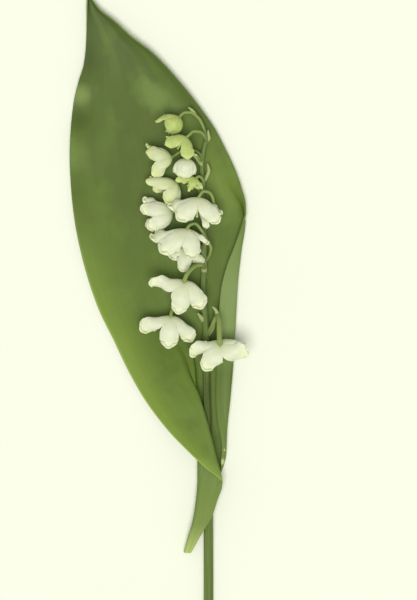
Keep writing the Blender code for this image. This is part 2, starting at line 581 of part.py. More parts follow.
def main():
    for obj in list(bpy.data.objects):
        bpy.data.objects.remove(obj)
    plant = bpy.data.collections.new("lily_of_the_valley")
    bpy.context.scene.collection.children.link(plant)
    leaf_green = make_material("leaf_green", (0.16, 0.24, 0.06), 0.45)
    stem_green = make_material("stem_green", (0.25, 0.33, 0.12), 0.45)
    petal_white = make_material("petal_white", (0.85, 0.87, 0.76), 0.5)
    petal_green = make_material("petal_green", (0.55, 0.62, 0.25), 0.5)
    make_leaf(plant, leaf_green)
    make_stem(plant, stem_green)
    heart_yellow = make_material("heart_yellow", (0.62, 0.64, 0.28), 0.5)
    for number, bell in enumerate(BELLS, 1):
        petal = petal_green if number in GREEN_BELLS else petal_white
        make_bell(f"bell_{number:02d}", bell, plant, petal)
        make_heart(f"heart_{number:02d}", bell, plant, heart_yellow)
    bpy.context.view_layer.update()
    centre_frame(list(plant.objects))


main()
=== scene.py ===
"""Lily of the valley with its leaf, dressed for its portrait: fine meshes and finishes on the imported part.

Lengths are in millimetres and angles in degrees; MM turns them into metres. The frame is the part's:
+X to the right, +Y towards the leaf's tip and +Z up from the surface at z = 0. Places are those of
the drawing, before the part was centred, and frame_shift() gives the move.
"""

import math

import bmesh
import bpy
import numpy as np
from mathutils import Matrix, Vector


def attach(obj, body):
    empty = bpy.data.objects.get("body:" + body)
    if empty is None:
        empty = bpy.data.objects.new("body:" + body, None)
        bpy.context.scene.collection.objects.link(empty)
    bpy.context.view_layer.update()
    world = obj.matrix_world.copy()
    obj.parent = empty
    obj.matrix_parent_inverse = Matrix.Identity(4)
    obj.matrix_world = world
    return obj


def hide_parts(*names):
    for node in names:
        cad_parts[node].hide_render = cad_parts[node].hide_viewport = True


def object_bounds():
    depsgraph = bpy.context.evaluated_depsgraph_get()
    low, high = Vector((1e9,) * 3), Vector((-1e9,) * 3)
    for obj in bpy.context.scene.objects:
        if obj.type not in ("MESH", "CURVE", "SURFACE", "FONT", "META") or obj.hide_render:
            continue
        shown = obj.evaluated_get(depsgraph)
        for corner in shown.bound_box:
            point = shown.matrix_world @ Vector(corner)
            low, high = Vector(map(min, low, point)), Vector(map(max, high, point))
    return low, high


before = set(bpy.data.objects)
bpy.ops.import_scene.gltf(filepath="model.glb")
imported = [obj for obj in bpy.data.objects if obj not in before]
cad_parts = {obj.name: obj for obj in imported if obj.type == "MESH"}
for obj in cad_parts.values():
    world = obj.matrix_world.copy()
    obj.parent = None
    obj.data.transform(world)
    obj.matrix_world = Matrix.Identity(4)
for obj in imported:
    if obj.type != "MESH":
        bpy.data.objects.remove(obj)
cad_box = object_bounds()

MM = 0.001
# Edges sharper than SHARP_ANGLE keep their crease. A rounded rim has RIM_SEGMENTS faces across, where
# the wall turns by more than RIM_ANGLE.
SHARP_ANGLE = 50
RIM_SEGMENTS, RIM_ANGLE = 2, 60
# Points of a piece that are closer than its weld become one.
STEM_WELD, BELL_WELD, HEART_WELD = 0.001, 0.02, 0.002
# How deep light spreads inside a piece, and the shares of that for red, green and blue.
GLOW_DEPTH, GLOW_SHARES = 0.8, (0.9, 1.0, 0.5)

# The photograph: its height in pixels, a pixel's size on the surface, and the place at its middle.
PHOTO_HIGH = 600
PIXEL = 0.262
PHOTO_MIDDLE = (12.84, 4.45)
LENS, SENSOR = 200, 36
# The height above the surface that the picture is framed for.
LOOK_HEIGHT = 2

# The light, broad and from the cut end's side, and the pale sky and surface.
LIGHT_COLOUR = (1.0, 1.0, 0.93)
SUN_ENERGY, SUN_ANGLE = 2.45, 34
SUN_WAY = (0.02, 0.29, -0.95)
SKY_STRENGTH = 0.4
SURFACE_HALF = 2000
SURFACE_DROP = 0.02

# The leaf. LEAF_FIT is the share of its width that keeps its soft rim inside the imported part's box,
# LEAF_ROWS the mesh's rows as (from y, to y, how many), and FLOOR_Z the height of its middle surface
# where it lies flat.
LEAF_THICKNESS = 0.38
LEAF_FIT = 0.999
LEAF_TIP_Y = 84.1
LEAF_CUT_Y = -61.8
LEAF_COLUMNS = 150
LEAF_ROWS = [
    (LEAF_TIP_Y, 34.0, 76), (34.0, 18.0, 32), (18.0, -30.0, 56), (-30.0, -38.0, 22),
    (-38.0, -46.0, 44), (-46.0, LEAF_CUT_Y, 30),
]
FLOOR_Z = 0.2
# The band in from each margin, as a share of the width, over which the plain blade rises to it.
MARGIN_BAND = 0.34
TIP_LIFT, TIP_LIFT_FROM = 1.2, 60.0
LEAF_VEINS = 30
VEIN_DEPTH = 0.012
# Lighter and darker patches of the leaf's upper side: middle and half size as shares across and
# along it, colour, and how strong it is. The four at the left margin are painted light and shade
# of its waves.
LEAF_TONE_AND_SHADING_PATCHES = [
    ((0.04, 0.175), (0.12, 0.028), (128, 148, 82), 0.7),
    ((0.04, 0.22), (0.12, 0.03), (74, 90, 42), 0.7),
    ((0.03, 0.285), (0.1, 0.05), (118, 140, 70), 0.5),
    ((0.68, 0.18), (0.22, 0.05), (116, 138, 72), 0.7),
    ((0.9, 0.33), (0.16, 0.12), (120, 142, 60), 0.55),
    ((0.04, 0.11), (0.2, 0.05), (76, 90, 48), 0.7),
    ((0.3, 0.33), (0.14, 0.14), (82, 100, 44), 0.5),
]
# Pale torn spots low on the folded margin, each as its middle and half size, in the same shares.
TORN_SPOTS = [((0.975, 0.815), (0.012, 0.004)), ((0.985, 0.836), (0.03, 0.008))]

# The stem and what it carries. Its parts grow together in a mesh of STEM_VOXEL.
STEM_SIDES = 28
STEM_STEP = 0.5
STEM_RIDGES, STEM_RIDGE_SHARE = 5, 0.045
STEM_VOXEL = 0.13
# The way from the stem over which a stalk takes its own colour, and the stretch, as (first y, last y),
# over which the stem's top takes it.
STALK_COLOUR_REACH = 2.5
TOP_COLOUR = (44.0, 51.0)
# How far a stalk goes on into its bell, and how much wider it ends there.
STALK_ROOT = 0.25
STALK_FLARE = 1.25
# The bracts: their wall and its rounding, their cup as a share of their half width, and their mesh.
BRACT_THICKNESS, BRACT_RIM, BRACT_CUP = 0.16, 0.05, 0.7
BRACT_STEP, BRACT_COLUMNS = 0.12, 8

# What every bell shares: its ring of lobes, its wall, the rows and columns of a lobe's mesh, and the
# plain bell's outline, where SHOULDER turns its sides away from its aim and SIDE_PUSH bows them.
LOBES = 6
SECTOR = 360 / LOBES
BELL_THICKNESS = 0.34
BLADE_ROWS, ROLL_ROWS, BELL_COLUMNS = 26, 13, 18
PROFILE_STEPS = 16
SHOULDER = 88
SIDE_PUSH = 14
DEPTH_PEAK = 0.5
FRONT_SHORT = 0.12
# How the lobes part from the plain bell below their slits: how far down the parting ends, their
# width, cup, bluntness and round ends, and the stretch over which a turned blade turns.
SLIT_LATER, SLIT_OPENING, SLIT_LAST = 0.06, 0.35, 1.1
LOBE_WIDER = 1.1
LOBE_CUP = 0.3
LOBE_BLUNT, BLUNT_FROM = 0.72, 0.5
LOBE_ROUND = 0.4
TURN_OVER = (0.2, 0.8)
# How far back along a lobe its direction is taken from.
DOWN_STEP = 0.04
# The rim's roll: where it starts, its length, its turn in radians, how much that differs across the
# lobe, and how far the rim narrows.
ROLL_START = 0.92
ROLL_LENGTH = 1.3
ROLL_TURN = 1.75
ROLL_SKEW = 0.5
ROLL_NARROW = 0.85
# A lobe's relief on a bell of PLAIN_DEEP, each as (height, place down the lobe, spread).
PLAIN_DEEP = 2.2
SWELL = (0.2, 0.6, 0.22)
GROOVE = (0.1, 0.42, 0.2)
PUCKER = (0.05, 0.75, 0.2)
PUCKER_WAVES = 4
# The step between one lobe's fine lines and the next one's.
LINE_STEP = 7.3

# What each bell holds. The pistil is drawn as (place from its foot, radius), for a bell of
# PLAIN_DEEP and PLAIN_REACH, and stands HEART_GAP from the seat.
HEART_GAP = 1.15
PLAIN_REACH = 7.3
PISTIL = [
    (0.0, 0.3), (0.25, 0.5), (0.9, 0.66), (1.6, 0.62), (2.0, 0.4), (2.3, 0.26), (3.3, 0.22),
    (3.6, 0.3), (3.85, 0.34), (4.0, 0.16),
]
PISTIL_STEP = 0.1
PISTIL_SIDES, PISTIL_RIBS, PISTIL_RIB_SHARE = 24, 3, 0.09
STAMENS = 6
STAMEN_RING, STAMEN_PLACE, ANTHER_RADIUS = 0.82, 1.3, 0.24
ANTHER_STRETCH = (0.75, 0.9, 2.6)
ANTHER_SIDES, ANTHER_RINGS = 14, 10

# Lobes that differ from the random draw, by (bell, lobe). A roll under 0 turns the rim in, and turn
# tips the blade round its own length.
LOBE_FORMS = {
    **{(1, k): dict(roll=-0.4, swell=0.2) for k in (0, 1, 3, 4, 5)}, (1, 2): dict(roll=0.15, blunt=0.5),
    (2, 1): dict(roll=-0.5, blunt=0.9), (2, 2): dict(roll=-0.5, blunt=0.9), (2, 3): dict(roll=0.4),
    (3, 0): dict(roll=0.2), (3, 1): dict(roll=0.25, blunt=0.72, wide=1.35),
    (3, 2): dict(roll=-0.3, blunt=0.75), (3, 3): dict(roll=0.6, blunt=0.8, turn=60),
    **{(4, k): dict(roll=-0.3, swell=0.2, groove=0.3) for k in range(4)},
    (4, 4): dict(roll=-0.3), (4, 5): dict(roll=-0.3),
    (5, 0): dict(turn=-20, roll=0.2, blunt=0.5), (5, 1): dict(roll=0.15, blunt=0.3),
    (5, 2): dict(turn=25, roll=0.2, blunt=0.6),
    (6, 1): dict(roll=0.6, blunt=0.85), (6, 2): dict(roll=0.15, blunt=0.5), (6, 3): dict(turn=30),
    (7, 0): dict(turn=-45, wide=1.2), (7, 3): dict(turn=70, blunt=1.0, wide=1.5),
    (8, 0): dict(turn=-75, blunt=1.0, wide=1.5), (8, 3): dict(turn=75, blunt=1.0, wide=1.7),
    (9, 0): dict(turn=-60, blunt=0.6), (9, 2): dict(blunt=1.05), (9, 3): dict(turn=80, blunt=0.8, wide=1.6),
    (11, 0): dict(turn=-15, blunt=0.95), (11, 1): dict(blunt=0.95), (11, 2): dict(turn=35, blunt=0.6),
    (12, 0): dict(turn=-20, blunt=1.0), (12, 1): dict(blunt=0.95), (12, 2): dict(turn=30, blunt=0.85),
    (13, 0): dict(turn=-20, roll=0.3), (13, 1): dict(turn=-20, roll=0.4, blunt=0.9),
    (13, 3): dict(turn=70, blunt=0.9, wide=1.5),
}

# The leaf's two margins and the fold of the right one, as (y, x), from the tip to the cut end.
LEFT_MARGIN = [
    (84.1, -18.9), (71.3, -19.3), (66.0, -19.9), (62.1, -21.1), (55.5, -22.7), (49.0, -23.3),
    (41.1, -23.6), (33.3, -23.2), (25.4, -22.3), (17.6, -20.8), (9.7, -18.7), (1.8, -15.9),
    (-6.0, -12.1), (-13.9, -8.3), (-21.7, -3.8), (-29.6, 2.2), (-34.8, 7.2), (-38.0, 10.6),
    (-40.0, 12.8), (-42.2, 15.7), (-43.2, 16.5), (-44.4, 16.4), (-47.9, 15.2), (-51.9, 13.9),
    (-56.1, 11.4), (-61.8, 8.3),
]
RIGHT_MARGIN = [
    (84.1, -18.4), (80.4, -15.6), (77.3, -11.7), (73.4, -7.5), (69.4, -2.2), (62.9, 4.1),
    (54.2, 11.1), (49.0, 14.7), (43.8, 17.4), (38.5, 19.9), (33.3, 21.7), (29.3, 22.6),
    (27.2, 22.6), (24.1, 21.6), (17.6, 19.3), (13.4, 17.7), (7.3, 16.2), (2.4, 15.7),
    (-6.0, 15.2), (-13.9, 15.0), (-21.7, 14.9), (-27.0, 15.3), (-34.1, 16.4), (-37.5, 16.2),
    (-42.7, 15.8), (-47.9, 14.6), (-51.9, 13.3), (-56.0, 10.9), (-61.8, 7.9),
]
RIGHT_FOLD = [
    (38.0, 19.6), (33.0, 21.2), (29.0, 22.3), (25.0, 22.4), (17.6, 21.4), (9.7, 20.5), (1.8, 20.0),
    (-6.0, 19.6), (-13.9, 19.1), (-21.7, 18.4), (-29.6, 17.6), (-36.2, 17.3), (-39.5, 16.5),
    (-42.7, 15.3), (-47.9, 14.0), (-51.9, 12.6), (-56.0, 10.2), (-61.8, 7.6),
]
# The crease where the left half turns back, and the sheath's left side, as (y, x).
CREASE = [
    (-2.0, 5.8), (-6.0, 6.6), (-13.9, 7.3), (-19.9, 10.1), (-27.0, 12.3), (-32.2, 13.7),
    (-37.5, 15.0), (-41.4, 16.1), (-42.6, 16.3), (-43.6, 15.7), (-45.2, 14.6), (-50.0, 12.6),
    (-56.0, 10.0), (-61.8, 7.7),
]
SHEATH_SIDE = [
    (-2.0, 9.6), (-13.9, 9.4), (-19.9, 9.6), (-27.0, 9.9), (-37.5, 10.1), (-42.7, 10.1),
    (-47.9, 9.7), (-53.2, 8.9), (-58.4, 7.4), (-61.8, 6.5),
]
# Heights of the blade's middle surface along those lines, as (y, z).
LEFT_MARGIN_Z = [
    (84.1, 1.4), (74.0, 0.8), (62.0, 1.7), (55.0, 0.6), (47.0, 1.8), (38.0, 0.8), (25.0, 1.4),
    (10.0, 1.0), (-6.0, 1.0), (-21.7, 1.4), (-29.6, 2.6), (-34.8, 4.4), (-37.5, 5.3),
    (-40.5, 5.1), (-44.0, 3.9), (-54.5, 3.9), (-57.5, 3.0), (-61.8, 1.7),
]
RIGHT_MARGIN_Z = [
    (84.1, 1.2), (72.0, 2.6), (60.0, 2.8), (50.0, 2.0), (40.0, 1.8), (31.0, 2.3), (24.0, 2.8),
    (7.0, 2.9), (-20.0, 2.6), (-34.0, 2.5), (-39.0, 1.6), (-43.0, 0.4), (-61.8, 0.3),
]
RIGHT_FOLD_TOP_Z = [
    (24.0, 2.2), (10.0, 2.9), (-6.0, 3.1), (-32.0, 3.0), (-37.5, 2.2), (-40.5, 1.1), (-43.0, 0.3),
    (-61.8, 0.3),
]
CREASE_Z = [
    (10.0, 0.2), (-2.0, 0.8), (-6.0, 1.3), (-13.9, 3.0), (-19.9, 4.4), (-24.0, 5.1), (-32.0, 5.3),
    (-38.0, 5.2), (-42.2, 4.4), (-45.0, 3.9), (-54.5, 3.9), (-57.5, 3.0), (-61.8, 1.7),
]
INNER_LAYER_Z = [
    (10.0, 0.2), (-2.0, 0.4), (-6.0, 0.7), (-13.9, 2.0), (-19.9, 3.2), (-24.0, 3.9), (-54.5, 3.9),
    (-57.5, 3.0), (-61.8, 1.7),
]
# Where the blade's plain width gives way to each fold, as (first y, last y).
RIGHT_FOLD_BLEND = (40.0, 25.0)
CREASE_BLEND = (6.0, -16.0)

# The stem's middle line with its radius, as (x, y, z, radius), from the cut end to the top bell.
STEM = [
    (12.8, -84.1, 1.25, 1.25), (12.8, -70.0, 1.25, 1.25), (12.8, -60.0, 1.5, 1.24),
    (12.8, -52.0, 2.15, 1.2), (12.7, -42.7, 2.15, 1.18), (12.6, -29.6, 2.1, 1.1),
    (12.3, -16.5, 1.95, 0.95), (12.2, -4.7, 1.9, 0.92), (11.9, 1.5, 1.85, 0.85),
    (11.5, 8.0, 1.8, 0.8), (11.8, 14.4, 1.8, 0.76), (11.8, 21.5, 1.8, 0.73),
    (11.5, 28.0, 1.9, 0.7), (11.1, 33.3, 2.1, 0.66), (11.1, 39.8, 2.3, 0.62),
    (11.6, 43.8, 2.5, 0.58), (12.2, 46.6, 2.8, 0.52), (11.6, 49.3, 3.2, 0.42),
    (10.0, 52.3, 3.6, 0.4), (7.9, 53.5, 4.0, 0.38), (6.5, 53.4, 4.3, 0.37), (5.65, 52.7, 4.4, 0.36),
]

# Each flower stalk's middle line as (x, y, z), from the stem to its bell, with its two end radii.
STALKS = [
    ([(12.5, 45.6, 2.7), (12.0, 46.9, 4.3), (10.6, 48.3, 5.8), (9.0, 48.4, 6.6), (7.9, 47.5, 7.0)],
     (0.4, 0.36)),
    ([(11.2, 39.2, 2.3), (11.0, 41.8, 2.8), (9.0, 43.6, 3.1), (6.0, 43.4, 3.5), (4.1, 42.3, 4.1)],
     (0.4, 0.36)),
    ([(11.0, 39.8, 2.4), (10.5, 41.2, 3.5), (9.5, 42.4, 4.5), (8.4, 42.6, 5.1), (7.5, 41.9, 5.6)],
     (0.4, 0.36)),
    ([(11.1, 32.4, 2.1), (11.6, 34.6, 3.2), (11.2, 36.2, 4.1), (10.3, 36.8, 4.5)], (0.45, 0.38)),
    ([(11.1, 31.0, 2.1), (10.2, 33.5, 2.2), (8.2, 35.6, 2.2), (6.5, 36.3, 2.7), (5.4, 35.9, 3.4)],
     (0.42, 0.36)),
    ([(11.6, 24.5, 1.9), (10.6, 27.4, 2.5), (8.0, 29.0, 2.9), (5.5, 28.6, 3.5), (4.1, 27.7, 4.1)],
     (0.42, 0.36)),
    ([(11.7, 24.6, 2.0), (13.4, 27.4, 3.2), (14.2, 29.5, 4.4), (13.9, 31.2, 5.4),
      (12.8, 32.6, 6.0), (11.6, 32.8, 6.4), (10.8, 32.0, 6.5)], (0.42, 0.4)),
    ([(12.0, 14.4, 1.9), (13.2, 16.4, 3.0), (13.5, 18.0, 3.9), (12.6, 19.8, 4.4),
      (10.9, 22.8, 4.9), (9.2, 24.4, 6.0), (7.9, 23.9, 6.8)], (0.45, 0.4)),
    ([(12.0, 13.8, 1.8), (11.2, 17.0, 2.1), (9.7, 19.4, 2.5), (8.1, 19.4, 2.8)], (0.45, 0.38)),
    ([(11.8, 12.2, 1.9), (11.5, 13.6, 3.4), (9.9, 13.5, 5.0), (8.2, 12.3, 6.6), (7.1, 10.9, 7.3),
      (6.7, 9.9, 7.3)], (0.5, 0.6)),
    ([(12.1, -1.5, 1.9), (11.2, 2.2, 2.2), (9.0, 4.1, 2.2), (5.9, 3.9, 2.4), (3.9, 2.6, 3.4),
      (3.1, 1.0, 4.6)], (0.5, 0.45)),
    ([(12.3, -5.0, 2.0), (13.8, -2.2, 3.6), (15.1, 0.3, 5.8), (15.5, -0.9, 7.3),
      (15.6, -3.4, 8.3), (15.7, -6.2, 8.8)], (0.5, 0.68)),
]

# Each small bract as (x, y, z, half width) from its foot to its tip.
BRACTS = [
    [(9.5, 52.8, 3.7, 0.4), (8.6, 54.0, 4.1, 0.34), (7.6, 54.8, 4.3, 0.12)],
    [(12.3, 45.8, 2.7, 0.45), (12.9, 47.0, 3.2, 0.42), (12.7, 48.9, 3.4, 0.1)],
    [(11.4, 35.2, 2.2, 0.45), (12.4, 36.8, 2.8, 0.42), (12.9, 38.4, 3.0, 0.4), (12.6, 40.1, 3.2, 0.1)],
    [(11.3, 39.4, 2.7, 0.4), (10.6, 40.7, 3.4, 0.6), (9.6, 42.0, 3.8, 0.55), (8.4, 42.6, 4.0, 0.15)],
    [(11.8, 10.0, 1.9, 0.75), (11.7, 12.2, 2.6, 0.72), (11.9, 14.4, 2.9, 0.2)],
    [(12.0, -1.6, 2.1, 0.6), (11.0, -0.2, 2.9, 0.5), (10.0, 1.0, 3.1, 0.15)],
    [(12.6, -4.8, 2.4, 0.6), (13.8, -3.0, 2.9, 0.5), (14.7, -0.9, 3.3, 0.15)],
    [(15.2, 0.0, 5.4, 0.5), (14.9, 1.5, 6.0, 0.4), (13.9, 2.7, 6.2, 0.12)],
]

# One row for each bell, from the top of the stem down.
# seat is where its stalk meets it, and aim the way its mouth faces, seen from above, with 0 to the
# right and -90 towards the cut end. pitch turns its mouth down to the surface, and crown is how far
# its far side stands up past the seat. deep is half its depth, fall the share of that lost at its
# tips, roll turns the lobes round the mouth, and turn_end is the share of its length over which a
# side curves from the shoulder to the lobe's own way.
# Each lobe is (way, reach, width, slit): the way its tip points, its length, its width, and how far
# down the slits beside it start. lap limits its half width to that share of its room. A row says
# only what departs from the plain bell.
PLAIN_BELL = dict(pitch=0, crown=0, roll=0, fall=0.3, turn_end=0.5, lap=0.5)
BELL_ROWS = [
    dict(seat=(5.3, 52.3, 4.4), aim=-128, roll=30, deep=2.3, fall=0.6, turn_end=1.0, lap=1.4,
         lobes=[(-206, 7.0, 2.8, 1.0), (-132, 5.4, 6.7, 1.0), (-136, 6.4, 2.5, 0.26),
                (-52, 7.0, 3.0, 1.0), (-128, 5.4, 2.8, 1.0), (-206, 7.0, 2.8, 1.0)]),
    dict(seat=(7.2, 46.9, 6.9), aim=-128, deep=1.9, fall=0.35,
         lobes=[(-78, 5.0, 2.8, 0.5), (-88, 6.3, 3.5, 0.24), (-157, 6.5, 3.1, 0.24),
                (-168, 4.8, 3.0, 0.6), (-150, 4.0, 2.8, 0.3), (-100, 4.0, 2.8, 0.3)]),
    dict(seat=(3.3, 41.8, 4.8), aim=-160, deep=2.1, fall=0.45,
         lobes=[(-150, 4.2, 3.2, 0.7), (-143, 7.3, 5.0, 0.52), (-187, 7.3, 4.2, 0.52),
                (-190, 7.2, 4.4, 0.45), (-178, 5.4, 3.4, 0.5), (-165, 4.4, 3.4, 0.7)]),
    dict(seat=(7.1, 41.4, 6.0), aim=-97, pitch=6, crown=0.2, roll=30, deep=2.0, fall=0.35, turn_end=0.8,
         lobes=[(-97, 5.0, 3.6, 1.0), (-97, 5.2, 4.2, 1.0), (-100, 5.2, 3.6, 1.0),
                (-97, 5.2, 3.4, 1.0), (-97, 4.8, 3.4, 1.0), (-97, 4.8, 3.4, 1.0)]),
    dict(seat=(9.7, 36.3, 4.5), aim=-125, roll=30, deep=1.3,
         lobes=[(-66, 3.0, 1.8, 0.3), (-120, 4.2, 2.2, 0.3), (-164, 5.6, 2.4, 0.3),
                (-160, 4.0, 2.2, 0.4), (-125, 3.2, 2.2, 0.4), (-90, 2.6, 1.8, 0.4)]),
    dict(seat=(4.6, 35.2, 3.0), aim=-138, deep=2.0,
         lobes=[(-88, 5.0, 3.4, 0.6), (-120, 6.2, 4.9, 0.36), (-181, 8.5, 3.9, 0.36),
                (-174, 7.0, 3.0, 0.5), (-156, 6.6, 3.0, 0.3), (-120, 5.2, 3.4, 0.3)]),
    dict(seat=(3.4, 27.3, 4.0), aim=-164, deep=2.2, fall=0.35,
         lobes=[(-145, 7.4, 3.2, 0.62), (-158, 8.2, 3.9, 0.5), (-180, 8.8, 3.9, 0.5),
                (-187, 8.8, 4.6, 0.6), (-178, 7.6, 3.6, 0.4), (-166, 8.2, 3.6, 0.4)]),
    dict(seat=(10.3, 31.2, 6.3), aim=-95, crown=0.3, deep=2.3,
         lobes=[(-50, 7.0, 4.8, 0.5), (-54, 8.8, 4.1, 0.26), (-130, 8.4, 5.2, 0.26),
                (-152, 8.1, 5.2, 0.4), (-108, 7.2, 3.4, 0.3), (-84, 8.9, 2.6, 0.3)]),
    dict(seat=(7.3, 23.0, 6.8), aim=-98, crown=0.3, deep=2.3,
         lobes=[(-45, 6.3, 2.6, 0.36), (-88, 8.8, 4.6, 0.36), (-137, 10.1, 4.2, 0.34),
                (-156, 9.9, 4.2, 0.34), (-114, 7.4, 3.6, 0.3), (-76, 7.8, 3.6, 0.3)]),
    dict(seat=(7.2, 18.4, 2.9), aim=-95, roll=30, deep=1.3,
         lobes=[(-55, 6.2, 3.8, 0.4), (-103, 7.2, 4.1, 0.4), (-140, 5.4, 3.4, 0.4),
                (-130, 5.2, 3.2, 0.4), (-95, 5.6, 3.2, 0.4), (-66, 5.2, 3.2, 0.4)]),
    dict(seat=(6.5, 9.1, 6.8), aim=-98, pitch=8, crown=1.6, roll=30, deep=2.1, fall=0.35,
         lobes=[(-69, 8.9, 4.4, 0.55), (-102, 8.7, 4.3, 0.55), (-178, 9.3, 4.0, 0.36),
                (-148, 6.4, 3.2, 0.34), (-108, 6.8, 3.4, 0.34), (-66, 9.2, 3.2, 0.34)]),
    dict(seat=(3.0, 0.2, 4.7), aim=-92, pitch=5, crown=0.7, roll=30, deep=2.1, fall=0.35,
         lobes=[(-61, 9.0, 5.4, 0.42), (-96, 8.7, 4.7, 0.42), (-152, 9.0, 4.5, 0.3),
                (-140, 7.0, 3.8, 0.36), (-95, 7.2, 3.8, 0.36), (-68, 7.4, 3.8, 0.36)]),
    dict(seat=(15.9, -7.2, 8.0), aim=-84, pitch=12, crown=2.4, deep=2.2,
         lobes=[(-12, 6.4, 3.6, 0.4), (-15, 8.0, 5.2, 0.3), (-122, 8.1, 4.8, 0.3),
                (-149, 8.3, 4.8, 0.42), (-138, 6.4, 3.6, 0.3), (-46, 5.6, 3.2, 0.3)]),
]
BELLS = [{**PLAIN_BELL, **row} for row in BELL_ROWS]
GREEN_BELLS = (1, 2, 5)
HALF_GREEN_BELLS = (3, 6)


def frame_shift():
    """The move, in metres, that centred the part, read from the cut end of its stem."""
    points = [v.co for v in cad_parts["flower_stem"].data.vertices]
    cut_y = min(point.y for point in points)
    across = [point.x for point in points if point.y < cut_y + 0.01 * MM]
    x, y, _, _ = STEM[0]
    return Vector(((min(across) + max(across)) / 2 - x * MM, cut_y - y * MM, 0))


SHIFT = frame_shift()


# Numbers along and across the pieces.

def rail(knots, position):
    """Monotone cubic through (position, value) knots, flat beyond both ends, for an array."""
    x, v = np.array(sorted(knots), float).T
    position = np.clip(position, x[0], x[-1])
    gap = np.diff(x)
    slope = np.diff(v) / gap
    tangent = np.zeros(len(x))
    tangent[0], tangent[-1] = slope[0], slope[-1]
    for i in range(1, len(x) - 1):
        if slope[i - 1] * slope[i] > 0:
            before, after = 2 * gap[i] + gap[i - 1], gap[i] + 2 * gap[i - 1]
            tangent[i] = (before + after) / (before / slope[i - 1] + after / slope[i])
    i = np.clip(np.searchsorted(x, position, side="right") - 1, 0, len(gap) - 1)
    s = (position - x[i]) / gap[i]
    return (
        v[i] * (1 + 2 * s) * (1 - s) ** 2
        + tangent[i] * gap[i] * s * (1 - s) ** 2
        + v[i + 1] * s * s * (3 - 2 * s)
        + tangent[i + 1] * gap[i] * s * s * (s - 1)
    )


def smoothstep(first, last, value):
    """0 at first and before it, 1 at last and beyond it, for an array."""
    share = np.clip((value - first) / (last - first), 0, 1)
    return share * share * (3 - 2 * share)


def hump(middle, width, value):
    """1 at the middle, falling off over the width."""
    return np.exp(-(((value - middle) / width) ** 2))


def normalised(vectors):
    return vectors / np.maximum(np.linalg.norm(vectors, axis=-1, keepdims=True), 1e-9)


def spline_weights(points, samples):
    """Weights of a clamped quadratic B-spline's control points at evenly spaced samples."""
    knots = np.concatenate([[0, 0], np.linspace(0, 1, points - 1), [1, 1]])
    weights = np.zeros((samples, points))
    for row, u in enumerate(np.linspace(0, 1 - 1e-9, samples)):
        basis = np.array([float(a <= u < b) for a, b in zip(knots, knots[1:])])
        for degree in (1, 2):
            higher = np.zeros(len(basis) - 1)
            for i in range(len(higher)):
                if knots[i + degree] > knots[i]:
                    higher[i] += (u - knots[i]) / (knots[i + degree] - knots[i]) * basis[i]
                if knots[i + degree + 1] > knots[i + 1]:
                    share = (knots[i + degree + 1] - u) / (knots[i + degree + 1] - knots[i + 1])
                    higher[i] += share * basis[i + 1]
            basis = higher
        weights[row] = basis
    return weights


# Meshes, curves and their modifiers.

def set_up(thing, **settings):
    """Give a modifier, node, lamp or camera those settings, and return it."""
    for name, value in settings.items():
        setattr(thing, name, value)
    return thing


def link(name, data, *materials):
    obj = bpy.data.objects.new(name, data)
    bpy.context.scene.collection.objects.link(obj)
    for material in materials:
        data.materials.append(material)
    return obj


def evaluated_mesh(obj):
    graph = bpy.context.evaluated_depsgraph_get()
    graph.update()
    return bpy.data.meshes.new_from_object(obj.evaluated_get(graph))


def apply_modifiers(obj):
    mesh = evaluated_mesh(obj)
    obj.modifiers.clear()
    obj.data = mesh


def grid_faces(rows, columns):
    a = np.arange(rows * columns).reshape(rows, columns)
    corners = [a[:-1, :-1], a[1:, :-1], a[1:, 1:], a[:-1, 1:]]
    return np.stack([corner.ravel() for corner in corners], 1)


def mesh_of(name, points, faces, **attributes):
    """A mesh of those points, in millimetres of the drawing, with one number a point for each name."""
    mesh = bpy.data.meshes.new(name)
    mesh.from_pydata((points.reshape(-1, 3) * MM + np.array(SHIFT)).tolist(), [], faces.tolist())
    for key, values in attributes.items():
        layer = mesh.attributes.new(key, "FLOAT", "POINT")
        layer.data.foreach_set("value", np.broadcast_to(values, points.shape[:-1]).ravel())
    return mesh


def weld(mesh, distance):
    shape = bmesh.new()
    shape.from_mesh(mesh)
    bmesh.ops.remove_doubles(shape, verts=shape.verts, dist=distance * MM)
    bmesh.ops.recalc_face_normals(shape, faces=shape.faces)
    shape.to_mesh(mesh)
    shape.free()


def give_wall(obj, thickness, offset, inner_slot=0, rim_slot=0, rim_radius=0.0):
    """Thicken a sheet, round its rim, and make the result the object's mesh."""
    set_up(obj.modifiers.new("wall", "SOLIDIFY"), thickness=thickness * MM, offset=offset,
           material_offset=inner_slot, material_offset_rim=rim_slot)
    if rim_radius:
        set_up(obj.modifiers.new("rim", "BEVEL"), width=rim_radius * MM, segments=RIM_SEGMENTS,
               limit_method="ANGLE", angle_limit=math.radians(RIM_ANGLE), harden_normals=False)
    apply_modifiers(obj)


def finish(obj, node=None):
    """Shade a finished piece smooth with sharp creases, attach it to the plant, and hide the node it
    replaces.
    """
    obj.data.shade_smooth()
    obj.data.set_sharp_from_angle(angle=math.radians(SHARP_ANGLE))
    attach(obj, "root")
    if node:
        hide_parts(node)


# Node trees.

def give(tree, socket, value):
    """Link a socket to the input, or set the input to a plain value."""
    if isinstance(value, bpy.types.NodeSocket):
        tree.links.new(value, socket)
    else:
        socket.default_value = value


def add(tree, kind, inputs=None, **settings):
    """A node of that kind: settings go on the node, and inputs on its sockets, by name or number."""
    node = set_up(tree.nodes.new(kind), **settings)
    for key, value in (inputs or {}).items():
        give(tree, node.inputs[key], value)
    return node


def calc(tree, operation, *values):
    """The result of a Math node on those values or sockets."""
    return add(tree, "ShaderNodeMath", dict(enumerate(values)), operation=operation).outputs[0]


def scaled(tree, vector, share):
    return add(tree, "ShaderNodeVectorMath", {0: vector, "Scale": share}, operation="SCALE").outputs[0]


def product(tree, first, *others):
    for value in others:
        first = calc(tree, "MULTIPLY", first, value)
    return first


